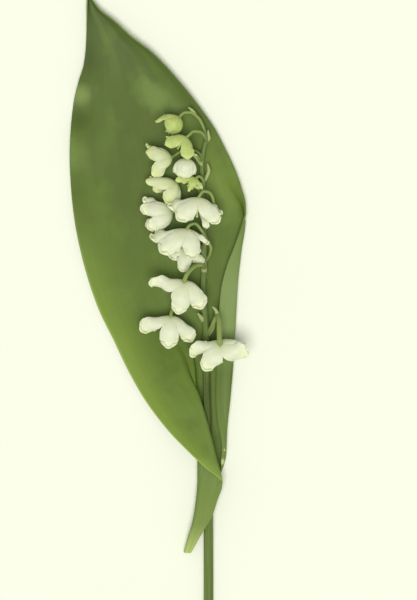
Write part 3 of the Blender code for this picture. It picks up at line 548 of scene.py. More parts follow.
def attributes(tree, *names):
    """The mesh's own numbers of those names."""
    return [add(tree, "ShaderNodeAttribute", attribute_name=name).outputs["Fac"] for name in names]


def linear(colour):
    """Linear light of a colour given as red, green and blue from 0 to 255."""
    return tuple(
        c / 255 / 12.92 if c / 255 <= 0.04045 else ((c / 255 + 0.055) / 1.055) ** 2.4
        for c in colour
    ) + (1.0,)


def mix(tree, share, first, second):
    """The first colour where the share is 0 and the second where it is 1."""
    node = add(tree, "ShaderNodeMix", {"Factor": share}, data_type="RGBA")
    for socket, colour in zip([s for s in node.inputs if s.type == "RGBA"], (first, second)):
        give(tree, socket, linear(colour) if isinstance(colour, tuple) else colour)
    return [s for s in node.outputs if s.type == "RGBA"][0]


def tint(tree, base, colour, strength, *shares):
    """The base turned to the colour, by the strength times the shares."""
    return mix(tree, product(tree, *shares, strength), base, colour)


def ramp(tree, share, *stops):
    """Colours at places from 0 to 1, each stop as (place, colour)."""
    node = add(tree, "ShaderNodeValToRGB", {"Fac": share})
    marks = node.color_ramp.elements
    while len(marks) < len(stops):
        marks.new(0.5)
    for mark, (place, colour) in zip(marks, stops):
        mark.position = place
        mark.color = linear(colour)
    return node.outputs["Color"]


def rise(tree, value, first, last):
    """0 at first and 1 at last, smoothly, with either the larger."""
    return add(tree, "ShaderNodeMapRange", {
        "Value": value, "From Min": min(first, last), "From Max": max(first, last),
        "To Min": float(first > last), "To Max": float(first < last),
    }, interpolation_type="SMOOTHSTEP").outputs["Result"]


def streaks(tree, across, along, across_scale, along_scale, detail=3.0):
    """Noise drawn out along a piece, from 0 to 1."""
    place = add(tree, "ShaderNodeCombineXYZ", {
        "X": product(tree, across, across_scale), "Y": product(tree, along, along_scale),
    })
    noise = add(tree, "ShaderNodeTexNoise", {"Vector": place.outputs[0], "Scale": 1.0, "Detail": detail})
    return noise.outputs["Fac"]


def mottle(tree, size, detail=3.0):
    """Noise on the piece's own place, with blotches of about that many millimetres."""
    place = add(tree, "ShaderNodeTexCoord").outputs["Object"]
    noise = add(tree, "ShaderNodeTexNoise", {"Vector": place, "Scale": 1 / (size * MM), "Detail": detail})
    return noise.outputs["Fac"]


def patch(tree, place, middle, size):
    """1 at the middle of an oval on (across, along), falling to 0 at its uneven rim."""
    parts = [
        calc(tree, "POWER", calc(tree, "DIVIDE", calc(tree, "SUBTRACT", way, centre), half), 2.0)
        for way, centre, half in zip(place, middle, size)
    ]
    reach = calc(tree, "SQRT", calc(tree, "ADD", *parts))
    uneven = calc(tree, "ADD", reach, calc(tree, "MULTIPLY_ADD", mottle(tree, 4.0), 0.9, -0.45))
    return rise(tree, uneven, 1.0, 0.1)


def new_material(name, roughness, specular=0.3, glow_through=0.0):
    """A Principled material with its uniform values on the shader: returns it, its tree and shader."""
    material = bpy.data.materials.new(name)
    material.use_nodes = True
    tree = material.node_tree
    shader = tree.nodes["Principled BSDF"]
    values = {"Roughness": roughness, "Specular IOR Level": specular, "Subsurface Weight": glow_through,
              "Subsurface Radius": GLOW_SHARES, "Subsurface Scale": GLOW_DEPTH * MM}
    for key, value in values.items():
        shader.inputs[key].default_value = value
    return material, tree, shader


def paint(tree, shader, colour, height=None, depth=0.05):
    """Link a colour, and a height of that many millimetres as bump."""
    tree.links.new(colour, shader.inputs["Base Color"])
    if height:
        bump = add(tree, "ShaderNodeBump", {"Height": height, "Distance": depth * MM, "Strength": 1.0})
        tree.links.new(bump.outputs["Normal"], shader.inputs["Normal"])


def leaf_upper_finish():
    """Mid green in soft patches and in broad lengthwise bands of painted light and shade for its undulations,
    with painted light and shade on the left margin's waves, yellower to the left margin, with faint
    lengthwise veins.
    """
    material, tree, shader = new_material("leaf_upper_green", 0.5, 0.13)
    across, along, margin = attributes(tree, "across", "along", "margin")
    base = ramp(tree, along, (0.0, (84, 98, 54)), (0.12, (84, 101, 50)), (0.3, (88, 106, 46)),
                (0.5, (92, 112, 46)), (0.68, (98, 120, 50)), (0.84, (98, 120, 48)),
                (0.95, (112, 132, 58)), (1.0, (160, 178, 94)))
    # Broad lengthwise bands of painted light and shade, standing in for the blade's soft undulations.
    wave_light_and_shade = streaks(tree, across, along, 4.0, 3.0)
    base = tint(tree, base, (108, 132, 62), 0.5, rise(tree, wave_light_and_shade, 0.42, 0.75))
    base = tint(tree, base, (106, 130, 58), 0.35, rise(tree, mottle(tree, 9.0), 0.5, 0.7))
    base = tint(tree, base, (78, 98, 42), 0.3, rise(tree, mottle(tree, 5.0), 0.5, 0.72))
    to_left, from_middle = rise(tree, across, 0.28, 0.0), rise(tree, along, 0.34, 0.62)
    base = tint(tree, base, (128, 152, 62), 0.7, to_left, from_middle)
    # The patches at the left margin are painted light and shade of its waves.
    for where, size, colour, strength in LEAF_TONE_AND_SHADING_PATCHES:
        base = tint(tree, base, colour, strength, patch(tree, (across, along), where, size))
    veins = streaks(tree, across, along, 80.0, 2.0, 2.0)
    base = tint(tree, base, (70, 90, 38), 0.1, rise(tree, veins, 0.4, 0.7))
    to_edge, below_tip = rise(tree, margin, 0.7, 0.1), rise(tree, along, 0.3, 0.6)
    base = tint(tree, base, (158, 178, 90), 0.6, to_edge, below_tip)
    paint(tree, shader, base, mottle(tree, 0.25), 0.015)
    return material


def leaf_lower_finish():
    """The paler, bluish grey green of the leaf's underside, with broad lengthwise bands of painted shade."""
    material, tree, shader = new_material("leaf_under_green", 0.6, 0.14)
    across, along = attributes(tree, "across", "along")
    base = ramp(tree, along, (0.0, (116, 134, 82)), (0.42, (112, 132, 74)), (0.52, (132, 152, 96)),
                (0.6, (126, 146, 88)), (0.68, (88, 106, 48)), (0.8, (104, 124, 62)),
                (0.9, (110, 130, 62)), (0.95, (118, 138, 68)), (1.0, (172, 188, 110)))
    # Broad lengthwise bands of painted shade.
    wave_light_and_shade = streaks(tree, across, along, 9.0, 3.0)
    base = tint(tree, base, (104, 126, 58), 0.4, rise(tree, wave_light_and_shade, 0.4, 0.75))
    for where, size in TORN_SPOTS:
        base = mix(tree, patch(tree, (across, along), where, size), base, (188, 200, 142))
    veins = streaks(tree, across, along, 70.0, 2.0, 2.0)
    base = tint(tree, base, (150, 168, 118), 0.15, rise(tree, veins, 0.4, 0.7))
    paint(tree, shader, base, mottle(tree, 0.25), 0.015)
    return material


def leaf_margin_finish():
    """The thin edge of the leaf, pale to the cut end."""
    material, tree, shader = new_material("leaf_margin_pale", 0.5, 0.3)
    [along] = attributes(tree, "along")
    base = ramp(tree, along, (0.0, (92, 110, 58)), (0.4, (98, 120, 58)), (0.65, (146, 168, 84)),
                (1.0, (196, 206, 132)))
    paint(tree, shader, mix(tree, mottle(tree, 1.5), base, (128, 148, 72)))
    return material


def stem_finish():
    """Green stem, paler to the top, with pale green stalks, a pale cut end, and painted shade where it lies
    in the leaf's groove.
    """
    material, tree, shader = new_material("stem_green", 0.55, 0.2)
    [stalk] = attributes(tree, "stalk")
    place = add(tree, "ShaderNodeTexCoord").outputs["Object"]
    parts = add(tree, "ShaderNodeSeparateXYZ", {"Vector": place})
    length = parts.outputs["Y"]
    base = mix(tree, rise(tree, length, -50 * MM, 40 * MM), (94, 112, 50), (102, 120, 66))
    # Painted shade on the stem where it lies in the leaf's groove, between the leaf's halves.
    groove_shade = rise(tree, length, -10 * MM, -18 * MM), rise(tree, length, -52 * MM, -44 * MM)
    base = mix(tree, product(tree, *groove_shade), base, (74, 88, 38))
    lines = streaks(tree, parts.outputs["X"], length, 2400.0, 60.0)
    base = tint(tree, base, (122, 140, 82), 0.4, rise(tree, lines, 0.4, 0.7))
    base = mix(tree, stalk, base, (134, 152, 86))
    cut = STEM[0][1] * MM + SHIFT.y
    base = mix(tree, rise(tree, length, cut + 0.3 * MM, cut + 0.1 * MM), base, (178, 190, 128))
    paint(tree, shader, base, lines, 0.03)
    return material


def petal_finish(label, seat, body, tip, inside):
    """One bell's finish, from its seat to its tips, greyer inside, with faint lengthwise lines, and painted
    shade greying it near the seat and in soft patches.
    """
    material, tree, shader = new_material(label, 0.5, 0.3, 0.35)
    down, across, inner = attributes(tree, "down", "across", "inner")
    # Greyer toward the seat: partly the bell's own tone, partly painted shade on its upper part.
    base = ramp(tree, down, (0.0, seat), (0.5, body), (0.8, body), (0.92, tip))
    lines = streaks(tree, across, down, 9.0, 1.2)
    base = tint(tree, base, inside, 0.22, rise(tree, lines, 0.4, 0.75))
    base = tint(tree, base, tip, 0.2, mottle(tree, 1.2))
    # Soft grey-green patches of painted shade, in the seat's colour.
    base = tint(tree, base, seat, 0.35, rise(tree, mottle(tree, 2.2), 0.5, 0.7))
    base = tint(tree, base, inside, 0.7, inner, rise(tree, down, 0.95, 0.7))
    paint(tree, shader, base, mottle(tree, 0.35), 0.02)
    return material


def plain_finish(name, first, second, size, roughness, glow_through=0.0):
    """Two close colours in soft blotches."""
    material, tree, shader = new_material(name, roughness, 0.3, glow_through)
    blotches = mottle(tree, size)
    paint(tree, shader, mix(tree, blotches, first, second), blotches, 0.03)
    return material


# The leaf.

def leaf_section(y):
    """Control points (x, z) across the leaf at each y, from the left margin to the right one."""
    left, right = rail(LEFT_MARGIN, y), rail(RIGHT_MARGIN, y)
    left_z, right_z = rail(LEFT_MARGIN_Z, y), rail(RIGHT_MARGIN_Z, y)
    crease, crease_z = rail(CREASE, y), rail(CREASE_Z, y)
    side, inner_z = rail(SHEATH_SIDE, y), rail(INNER_LAYER_Z, y)
    fold, fold_z = rail(RIGHT_FOLD, y), rail(RIGHT_FOLD_TOP_Z, y)
    floor = np.full(y.shape, FLOOR_Z)
    reach = crease - left
    round_off = np.copysign(np.minimum(1.0, 0.2 * np.abs(reach)), reach)
    folded = [
        (left, left_z),
        (left + 0.35 * reach, left_z + 0.45 * (crease_z - left_z)),
        (left + 0.7 * reach, left_z + 0.8 * (crease_z - left_z)),
        (crease - round_off, crease_z),
        (crease, crease_z),
        (crease + 0.3 * np.maximum(side - crease, 0), inner_z),
        (crease + 0.6 * (side - crease), inner_z),
        (side, inner_z),
        (side, floor),
        (side + 0.5 * (fold - side), floor),
        (fold, floor),
        (fold, fold_z),
        (right, right_z),
    ]
    shares = (0, 0.1, 0.2, 0.3, 0.38, 0.46, 0.53, 0.6, 0.68, 0.78, 0.88, 0.95, 1)
    from_crease, from_fold = smoothstep(*CREASE_BLEND, y), smoothstep(*RIGHT_FOLD_BLEND, y)
    last_three = shares[-3:]
    section = []
    for i, share in enumerate(shares):
        lift = (left_z - FLOOR_Z) * max(0.0, 1 - share / MARGIN_BAND) ** 2
        lift += (right_z - FLOOR_Z) * max(0.0, 1 - (1 - share) / MARGIN_BAND) ** 2
        lift += TIP_LIFT * smoothstep(TIP_LIFT_FROM, LEAF_TIP_Y, y)
        plain = (left + (right - left) * share, FLOOR_Z + lift)
        blend = from_fold if share in last_three else from_crease
        section.append([p + (f - p) * blend for p, f in zip(plain, folded[i])])
    return np.array(section)


def leaf_sheet():
    """The leaf's middle surface, with its shares across and along it and its way from a margin."""
    spans = [np.linspace(a, b, count + 1)[1:] for a, b, count in LEAF_ROWS]
    y = np.concatenate([[LEAF_TIP_Y], *spans])
    weights = spline_weights(len(leaf_section(y)), LEAF_COLUMNS + 1)
    x, z = np.einsum("cp,pkr->krc", weights, leaf_section(y))
    points = np.stack([x, np.broadcast_to(y[:, None], x.shape), z], -1)
    steps = np.linalg.norm(np.diff(points, axis=1), axis=-1)
    way = np.concatenate([np.zeros((len(y), 1)), np.cumsum(steps, axis=1)], axis=1)
    width = way[:, -1:]
    return mesh_of(
        "leaf_blade", points, grid_faces(*x.shape),
        across=way / width,
        along=((LEAF_TIP_Y - y) / (LEAF_TIP_Y - LEAF_CUT_Y))[:, None],
        margin=np.minimum(way, width - way),
    )


def node_group(name, result, **given):
    """A geometry nodes tree with one named input for each name and kind, and its input sockets."""
    tree = bpy.data.node_groups.new(name, "GeometryNodeTree")
    for key, kind in given.items():
        label = key.replace("_", " ").capitalize()
        tree.interface.new_socket(label, in_out="INPUT", socket_type="NodeSocket" + kind)
    tree.interface.new_socket(result, in_out="OUTPUT", socket_type="NodeSocketGeometry")
    return tree, tree.nodes.new("NodeGroupInput").outputs


def close_group(tree, geometry, material):
    """Make the tree's geometry real, give it its finish and send it out."""
    whole = add(tree, "GeometryNodeRealizeInstances", {"Geometry": geometry})
    done = add(tree, "GeometryNodeSetMaterial", {"Geometry": whole.outputs[0], "Material": material})
    out = tree.nodes.new("NodeGroupOutput")
    tree.links.new(done.outputs[0], out.inputs[0])
    return tree


def vein_tree():
    """Geometry nodes that raise evenly spaced ridges along a blade, by its share across."""
    tree, given = node_group("raise_veins", "Blade", blade="Geometry", vein_count="Float",
                             vein_depth="Float", finish="Material")
    across = add(tree, "GeometryNodeInputNamedAttribute", {"Name": "across"}).outputs["Attribute"]
    margin = add(tree, "GeometryNodeInputNamedAttribute", {"Name": "margin"}).outputs["Attribute"]
    half_turns = product(tree, across, given["Vein count"], math.pi)
    ridge = calc(tree, "POWER", calc(tree, "ABSOLUTE", calc(tree, "COSINE", half_turns)), 4.0)
    fade = calc(tree, "MINIMUM", product(tree, margin, 0.5), 1.0)
    height = product(tree, ridge, fade, given["Vein depth"])
    offset = scaled(tree, add(tree, "GeometryNodeInputNormal").outputs[0], height)
    moved = add(tree, "GeometryNodeSetPosition", {"Geometry": given["Blade"], "Offset": offset})
    return close_group(tree, moved.outputs[0], given["Finish"])


def run_tree(obj, tree, **values):
    """Put the object through a geometry nodes tree, with its named inputs, and return the mesh."""
    modifier = obj.modifiers.new(tree.name, "NODES")
    modifier.node_group = tree
    for item in tree.interface.items_tree:
        key = item.name.lower().replace(" ", "_")
        if item.in_out == "INPUT" and key in values:
            modifier[item.identifier] = values[key]
    return evaluated_mesh(obj)


def make_leaf(upper, lower, margin):
    plain = link("leaf_sheet", leaf_sheet())
    mesh = run_tree(plain, vein_tree(), vein_count=float(LEAF_VEINS), vein_depth=VEIN_DEPTH * MM,
                    finish=upper)
    bpy.data.objects.remove(plain)
    mesh.materials.clear()
    leaf = link("leaf_blade", mesh, upper, lower, margin)
    give_wall(leaf, LEAF_THICKNESS, 0, 1, 2)
    for vertex in leaf.data.vertices:
        vertex.co.x *= LEAF_FIT
        vertex.co.z = max(vertex.co.z, 0)
    finish(leaf, "leaf")


# The stem, its stalks and bracts.

def line_points(path, step):
    """A smooth curve through (x, y, z, radius) points, with a point about every step of length."""
    path = np.array(path, float)
    along = np.concatenate([[0], np.cumsum(np.linalg.norm(np.diff(path[:, :3], axis=0), axis=1))])
    places = np.linspace(0, along[-1], max(6, int(along[-1] / step)))
    return np.stack([rail(list(zip(along, path[:, i])), places) for i in range(4)], 1)


def curve_of(name, lines):
    """A curve object with one poly spline for each line of (x, y, z, radius) points."""
    curve = bpy.data.curves.new(name, "CURVE")
    curve.dimensions = "3D"
    for line in lines:
        spline = curve.splines.new("POLY")
        spline.points.add(len(line) - 1)
        for point, (x, y, z, radius) in zip(spline.points, line):
            point.co = (*(Vector((x, y, z)) * MM + SHIFT), 1)
            point.radius = radius
    return link(name, curve)


def tube_tree():
    """Geometry nodes that sweep a faintly ridged circle along a curve, scaled by its radius."""
    tree, given = node_group("ridged_tube", "Tube", line="Geometry", sides="Int", ridges="Int",
                             ridge_share="Float", finish="Material")
    circle = add(tree, "GeometryNodeCurvePrimitiveCircle", {"Resolution": given["Sides"], "Radius": MM})
    index = add(tree, "GeometryNodeInputIndex").outputs[0]
    turn = calc(tree, "DIVIDE", product(tree, index, given["Ridges"]), given["Sides"])
    wave = calc(tree, "COSINE", product(tree, turn, 2 * math.pi))
    grow = calc(tree, "ADD", product(tree, wave, given["Ridge share"]), 1.0)
    grown = scaled(tree, add(tree, "GeometryNodeInputPosition").outputs[0], grow)
    profile = add(tree, "GeometryNodeSetPosition", {"Geometry": circle.outputs[0], "Position": grown})
    radius = add(tree, "GeometryNodeInputRadius").outputs[0]
    tube = add(tree, "GeometryNodeCurveToMesh", {
        "Curve": given["Line"], "Profile Curve": profile.outputs[0], "Scale": radius, "Fill Caps": True,
    })
    return close_group(tree, tube.outputs[0], given["Finish"])


def stalk_lines():
    """The stem's line, then each stalk's, each drawn on into the bell it carries and flared there."""
    lines = [STEM] + [
        [(*point, radius) for point, radius in zip(line, np.linspace(*ends, len(line)))]
        for line, ends in STALKS
    ]
    drawn_on = []
    for line, bell in zip(lines, BELLS):
        seat = Vector(bell["seat"])
        root = seat + (seat - Vector(line[-1][:3])).normalized() * STALK_ROOT
        drawn_on.append([*line, (*root, line[-1][3] * STALK_FLARE)])
    return [line_points(line, STEM_STEP) for line in drawn_on]


def stalk_shares(points, stem_line):
    """0 on the stem, and 1 on its top and on the stalks past the first stretch of each."""
    away = np.linalg.norm(points[:, None] - stem_line[None, :, :3], axis=-1) - stem_line[None, :, 3]
    from_stem = np.clip(np.min(away, axis=1) / STALK_COLOUR_REACH, 0, 1)
    return np.maximum(from_stem, smoothstep(*TOP_COLOUR, points[:, 1]))


def make_stem(tree, finish_green):
    """Stem and stalks as swept tubes, grown together by a fine remesh and softened."""
    lines = stalk_lines()
    guide = curve_of("stem_lines", lines)
    mesh = run_tree(guide, tree, sides=STEM_SIDES, ridges=STEM_RIDGES, ridge_share=STEM_RIDGE_SHARE,
                    finish=finish_green)
    bpy.data.objects.remove(guide)
    weld(mesh, STEM_WELD)
    mesh.materials.clear()
    stem = link("stem_and_stalks", mesh, finish_green)
    set_up(stem.modifiers.new("grown_together", "REMESH"), mode="VOXEL", voxel_size=STEM_VOXEL * MM)
    set_up(stem.modifiers.new("soften", "SMOOTH"), factor=0.5, iterations=4)
    apply_modifiers(stem)
    co = np.empty(len(stem.data.vertices) * 3)
    stem.data.vertices.foreach_get("co", co)
    points = (co.reshape(-1, 3) - np.array(SHIFT)) / MM
    layer = stem.data.attributes.new("stalk", "FLOAT", "POINT")
    layer.data.foreach_set("value", stalk_shares(points, lines[0]))
    for vertex in stem.data.vertices:
        vertex.co.y = max(vertex.co.y, cad_box[0][1])
        vertex.co.z = max(vertex.co.z, 0)
    finish(stem, "flower_stem")


def make_bract(number, path, material):
    """A thin cupped scale at a stalk's foot."""
    line = line_points(path, BRACT_STEP)
    middle, half = line[:, :3], line[:, 3]
    ahead = normalised(np.gradient(middle, axis=0))
    sideways = normalised(np.cross(ahead, (0, 0, 1)))
    up = np.cross(sideways, ahead)
    across = np.linspace(-1, 1, BRACT_COLUMNS + 1)
    points = (
        middle[:, None]
        + sideways[:, None] * (half[:, None] * across)[..., None]
        - up[:, None] * (BRACT_CUP * half[:, None] * across**2)[..., None]
    )
    bract = link(f"bract_{number:02d}", mesh_of("bract", points, grid_faces(*points.shape[:2])), material)
    give_wall(bract, BRACT_THICKNESS, 0, rim_radius=BRACT_RIM)
    finish(bract)


# The bells.

def way_vector(degrees):
    """Unit vectors that point those ways, seen from above."""
    turn = np.radians(np.asarray(degrees, float))
    return np.stack([np.cos(turn), np.sin(turn), np.zeros_like(turn)], -1)


def place_values(bell, place):
    """Ring angle, way of the tip and reach at places round the mouth: lobe k's middle is at k."""
    k = np.floor(place).astype(int)
    share = place - k
    lobes = np.array(bell["lobes"])
    here, after = lobes[k % LOBES], lobes[(k + 1) % LOBES]
    turn = (after[..., 0] - here[..., 0] + 180) % 360 - 180
    push = SIDE_PUSH * np.cos(np.radians(bell["roll"] + SECTOR * (k + 0.5))) ** 3
    way = here[..., 0] + turn * share + push * np.sin(np.pi * share)
    return bell["roll"] + SECTOR * place, way, here[..., 1] + (after[..., 1] - here[..., 1]) * share


def sheet(bell, place, t):
    """Points of the bell's outer surface, as if no slit parted its lobes, from its seat."""
    place, t = np.broadcast_arrays(place, t)
    theta, way, reach = place_values(bell, place)
    side, front = np.cos(np.radians(theta)), np.sin(np.radians(theta))
    first = bell["aim"] + SHOULDER * side
    turn = (way - first + 180) % 360 - 180
    steps = (np.arange(PROFILE_STEPS) + 0.5) / PROFILE_STEPS
    share = np.minimum(t[..., None] * steps / bell["turn_end"], 1)
    points = way_vector(first[..., None] + turn[..., None] * share).mean(-2) * (reach * t)[..., None]
    rise_share = np.sqrt(1 - (1 - np.minimum(t / DEPTH_PEAK, 1)) ** 2)
    drop = bell["fall"] * np.maximum(0, (t - DEPTH_PEAK) / (1 - DEPTH_PEAK)) ** 2
    points *= (1 - FRONT_SHORT * np.abs(front))[..., None]
    points -= way_vector(bell["aim"]) * (bell["crown"] * (1 - front) / 2 * rise_share)[..., None]
    points[..., 2] = bell["deep"] * front * (rise_share - drop)
    return points


def lobe_forms(number, k):
    """What makes each lobe its own: its swelling, roll, skew, end and the turn of its blade."""
    draw = np.random.default_rng(100 * number + k)
    forms = dict(swell=draw.uniform(0.7, 1.2), roll=draw.uniform(0.75, 1.2), skew=draw.uniform(-0.4, 0.4),
                 fold=draw.uniform(0, 6.0), blunt=LOBE_BLUNT * draw.uniform(0.92, 1.08), turn=0.0,
                 wide=1.0, groove=1.0)
    forms.update(LOBE_FORMS.get((number, k), {}))
    return forms


def raised(form, t):
    """How high a form of the relief stands at t down a lobe, from its (height, place, spread)."""
    height, place, spread = form
    return height * hump(place, spread, t)


def lobe_relief(forms, t, across):
    """How far a lobe stands out: its full middle, less the grooves beside it, and a soft pucker."""
    return (
        raised(SWELL, t) * forms["swell"] * (1 - across**2)
        - raised(GROOVE, t) * forms["groove"] * np.abs(across) ** 4
        + raised(PUCKER, t) * np.sin(PUCKER_WAVES * (across + t) + forms["fold"])
    )


def lobe_axes(bell, k, down, turn):
    """Lobe k's middle line, its room from side to side, and unit vectors along, across and out of it."""
    middle = sheet(bell, float(k), down)
    chord = sheet(bell, k + 0.5, down) - sheet(bell, k - 0.5, down)
    along = normalised(middle - sheet(bell, float(k), np.maximum(down - DOWN_STEP, 0)))
    sideways = normalised(chord - along * np.sum(chord * along, -1, keepdims=True))
    out = np.cross(sideways, along)
    turned = sideways * np.cos(turn) + out * np.sin(turn)
    return middle, np.linalg.norm(chord, axis=-1), along, turned, out * np.cos(turn) - sideways * np.sin(turn)


def lobe_points(bell, number, k, t, across):
    """Points of lobe k at t down its length and across from -1 to 1, from the bell's seat.

    Down to ROLL_START the blade follows the bell; from there on it rolls out, or in where roll is
    less than 0.
    """
    forms = lobe_forms(number, k)
    down = np.minimum(t, ROLL_START)
    turn = np.radians(forms["turn"]) * smoothstep(*TURN_OVER, t)[..., None]
    middle, room, along, sideways, out = lobe_axes(bell, k, down, turn)
    ending = smoothstep(BLUNT_FROM, 1.0, t)
    half = np.minimum(0.5 * LOBE_WIDER * bell["lobes"][k][2], bell["lap"] * forms["wide"] * room)
    half = half * (1 - (1 - forms["blunt"]) * ending)
    strip = middle + sideways * (half * across)[..., None] - out * (LOBE_CUP * half * across**2)[..., None]
    strip -= along * (LOBE_ROUND * half * across**2 * ending)[..., None]
    fused = sheet(bell, k + across / 2, down)
    slits = [lobe[3] for lobe in bell["lobes"]]
    before, after = min(slits[k], slits[k - 1]), min(slits[k], slits[(k + 1) % LOBES])
    start = np.where(across > 0, after, before) + SLIT_LATER
    parted = smoothstep(start, np.minimum(start + SLIT_OPENING, SLIT_LAST), down)[..., None]
    size = bell["deep"] / PLAIN_DEEP
    base = fused + (strip - fused) * parted + out * (lobe_relief(forms, t, across) * size)[..., None]
    rolled = np.maximum(t - ROLL_START, 0) / (1 - ROLL_START)
    strength = ROLL_TURN * abs(forms["roll"])
    angle = strength * rolled * (1 + forms["skew"] * across * ROLL_SKEW)
    bend = out * (np.sign(forms["roll"]) * (1 - np.cos(angle)))[..., None]
    end = (along * np.sin(angle)[..., None] + bend) * (ROLL_LENGTH * size / strength)
    drawn_in = np.sqrt(1 - ROLL_NARROW * min(forms["blunt"], 1) * rolled**2) - 1
    return base + end + sideways * (half * across * drawn_in)[..., None] * parted


def bell_to_plant(bell, local):
    """Points of the bell in the drawing: its mouth turned down by the pitch, its seat put in place."""
    along = way_vector(bell["aim"])
    down = math.radians(bell["pitch"])
    reach = local @ along
    turned = local + along * (reach * (math.cos(down) - 1) + local[..., 2] * math.sin(down))[..., None]
    turned[..., 2] = local[..., 2] * math.cos(down) - reach * math.sin(down)
    return turned + np.array(bell["seat"])


def make_bell(number, bell, material):
    """Six lobes, joined above their slits into one dome, with a thin wall."""
    blade, rim = np.linspace(0, ROLL_START, BLADE_ROWS), np.linspace(ROLL_START, 1, ROLL_ROWS)[1:]
    t = np.concatenate([blade, rim])[:, None]
    across = np.linspace(-1, 1, BELL_COLUMNS + 1)[None, :]
    points = [bell_to_plant(bell, lobe_points(bell, number, k, t, across)) for k in range(LOBES)]
    faces = [grid_faces(len(t), BELL_COLUMNS + 1) + k * len(t) * (BELL_COLUMNS + 1) for k in range(LOBES)]
    mesh = mesh_of(
        f"bell_{number:02d}", np.concatenate(points), np.concatenate(faces),
        down=np.tile(t, (LOBES, 1)),
        across=across + np.repeat(np.arange(LOBES), len(t))[:, None] * LINE_STEP,
        inner=0.0,
    )
    weld(mesh, BELL_WELD)
    # The upper half of the dome has to face up.
    level = np.median([face.center.z for face in mesh.polygons])
    if sum(face.normal.z * face.area for face in mesh.polygons if face.center.z > level) < 0:
        mesh.flip_normals()
    obj = link(f"bell_lobes_{number:02d}", mesh, material)
    sheet_points = len(mesh.vertices)
    give_wall(obj, BELL_THICKNESS, -1)
    inner = obj.data.attributes["inner"].data
    for i in range(sheet_points, len(inner)):
        inner[i].value = 1.0
    finish(obj, f"bell_{number:02d}")


# What each bell holds.

def stamen_tree():
    """Geometry nodes that set a ring of anthers round the pistil, leaning outwards."""
    tree, given = node_group("stamen_ring", "Ring", nothing="Geometry", stamens="Int",
                             ring_radius="Float", anther_radius="Float", finish="Material")
    ring = add(tree, "GeometryNodeMeshCircle", {
        "Vertices": given["Stamens"], "Radius": given["Ring radius"],
    })
    ball = add(tree, "GeometryNodeMeshUVSphere", {
        "Segments": ANTHER_SIDES, "Rings": ANTHER_RINGS, "Radius": given["Anther radius"],
    })
    anther = add(tree, "GeometryNodeTransform", {"Geometry": ball.outputs[0], "Scale": ANTHER_STRETCH})
    place = add(tree, "GeometryNodeInputPosition").outputs[0]
    turn = add(tree, "FunctionNodeAlignRotationToVector", {"Vector": place}, axis="X", pivot_axis="Z")
    copies = add(tree, "GeometryNodeInstanceOnPoints", {
        "Points": ring.outputs[0], "Instance": anther.outputs[0], "Rotation": turn.outputs[0],
    })
    return close_group(tree, copies.outputs[0], given["Finish"])


def make_heart(number, bell, tube, ring, pistil_green, anther_cream):
    """The pistil, with its ribbed ovary, style and stigma, and the six stamens round its foot."""
    wide = (bell["deep"] / PLAIN_DEEP) ** 1.5
    long = bell["lobes"][1][1] * (1 - bell["fall"] / 2) / PLAIN_REACH
    along = way_vector(bell["aim"])
    axis = [
        (*bell_to_plant(bell, along * (HEART_GAP + place * long)), radius * wide)
        for place, radius in PISTIL
    ]
    guide = curve_of("pistil_line", [line_points(axis, PISTIL_STEP)])
    pistil = run_tree(guide, tube, sides=PISTIL_SIDES, ridges=PISTIL_RIBS, ridge_share=PISTIL_RIB_SHARE,
                      finish=pistil_green)
    empty = link("ring_holder", bpy.data.meshes.new("ring_holder"))
    anthers = run_tree(empty, ring, stamens=STAMENS, ring_radius=STAMEN_RING * wide * MM,
                       anther_radius=ANTHER_RADIUS * wide * MM, finish=anther_cream)
    bpy.data.objects.remove(guide)
    bpy.data.objects.remove(empty)
    foot, top = Vector(axis[0][:3]), Vector(axis[-1][:3])
    turn = (top - foot).to_track_quat("Z", "Y").to_matrix().to_4x4()
    middle = (foot + (top - foot).normalized() * STAMEN_PLACE * long) * MM + SHIFT
    anthers.transform(Matrix.Translation(middle) @ turn)
    shape = bmesh.new()
    shape.from_mesh(pistil)
    shape.from_mesh(anthers)
    first_anther = len(pistil.polygons)
    mesh = bpy.data.meshes.new(f"heart_{number:02d}")
    shape.to_mesh(mesh)
    shape.free()
    weld(mesh, HEART_WELD)
    heart = link(f"pistil_and_stamens_{number:02d}", mesh, pistil_green, anther_cream)
    for face in mesh.polygons:
        face.material_index = int(face.index >= first_anther)
    finish(heart, f"heart_{number:02d}")


# The picture's surroundings.

def make_floor():
    """A plain pale surface, wide enough for every view."""
    half, down = SURFACE_HALF * MM, -SURFACE_DROP * MM
    mesh = bpy.data.meshes.new("surface")
    corners = [(-half, -half, down), (half, -half, down), (half, half, down), (-half, half, down)]
    mesh.from_pydata(corners, [], [(0, 1, 2, 3)])
    material, tree, shader = new_material("pale_surface", 0.9, 0.1)
    paint(tree, shader, mix(tree, mottle(tree, 60.0), (236, 239, 226), (239, 242, 230)))
    link("surface", mesh, material)


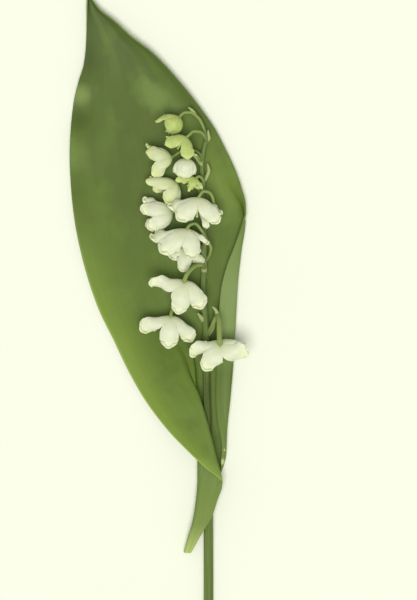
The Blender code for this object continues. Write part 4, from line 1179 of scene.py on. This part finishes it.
def make_light():
    """A broad soft light from the cut end's side, and a pale sky."""
    sun = set_up(bpy.data.lights.new("window", "SUN"), energy=SUN_ENERGY, angle=math.radians(SUN_ANGLE),
                 color=LIGHT_COLOUR)
    lamp = link("window", sun)
    lamp.rotation_euler = Vector(SUN_WAY).to_track_quat("-Z", "Y").to_euler()
    world = bpy.data.worlds.new("pale_sky")
    bpy.context.scene.world = world
    world.use_nodes = True
    sky = world.node_tree.nodes["Background"]
    sky.inputs["Color"].default_value = (*LIGHT_COLOUR, 1)
    sky.inputs["Strength"].default_value = SKY_STRENGTH
    bpy.context.scene.view_settings.view_transform = "Standard"


def make_camera():
    """Straight down from above, framed as the photograph."""
    camera = set_up(bpy.data.cameras.new("view_from_above"), lens=LENS, sensor_width=SENSOR, clip_end=10)
    high = PHOTO_HIGH * PIXEL * LENS / SENSOR + LOOK_HEIGHT
    holder = link("view_from_above", camera)
    holder.location = Vector((*PHOTO_MIDDLE, high)) * MM + SHIFT
    bpy.context.scene.camera = holder


def build():
    make_camera()
    make_light()
    make_floor()
    make_leaf(leaf_upper_finish(), leaf_lower_finish(), leaf_margin_finish())
    tube, ring = tube_tree(), stamen_tree()
    make_stem(tube, stem_finish())
    bract_pale = plain_finish("bract_pale", (146, 162, 98), (170, 182, 126), 0.8, 0.5, 0.3)
    for number, path in enumerate(BRACTS, 1):
        make_bract(number, path, bract_pale)
    white = petal_finish("petal_white", (200, 208, 168), (218, 223, 198), (228, 233, 200), (186, 194, 158))
    half = petal_finish("petal_greenish", (192, 201, 146), (208, 215, 174), (213, 222, 162), (172, 184, 128))
    green = petal_finish("petal_green", (164, 182, 98), (182, 198, 118), (200, 212, 138), (144, 162, 78))
    pistil_green = plain_finish("pistil_green", (178, 192, 110), (206, 216, 150), 0.6, 0.45, 0.2)
    anther_cream = plain_finish("anther_cream", (214, 206, 128), (230, 224, 164), 0.4, 0.6, 0.1)
    for number, bell in enumerate(BELLS, 1):
        petal = green if number in GREEN_BELLS else half if number in HALF_GREEN_BELLS else white
        make_bell(number, bell, petal)
        make_heart(number, bell, tube, ring, pistil_green, anther_cream)


build()
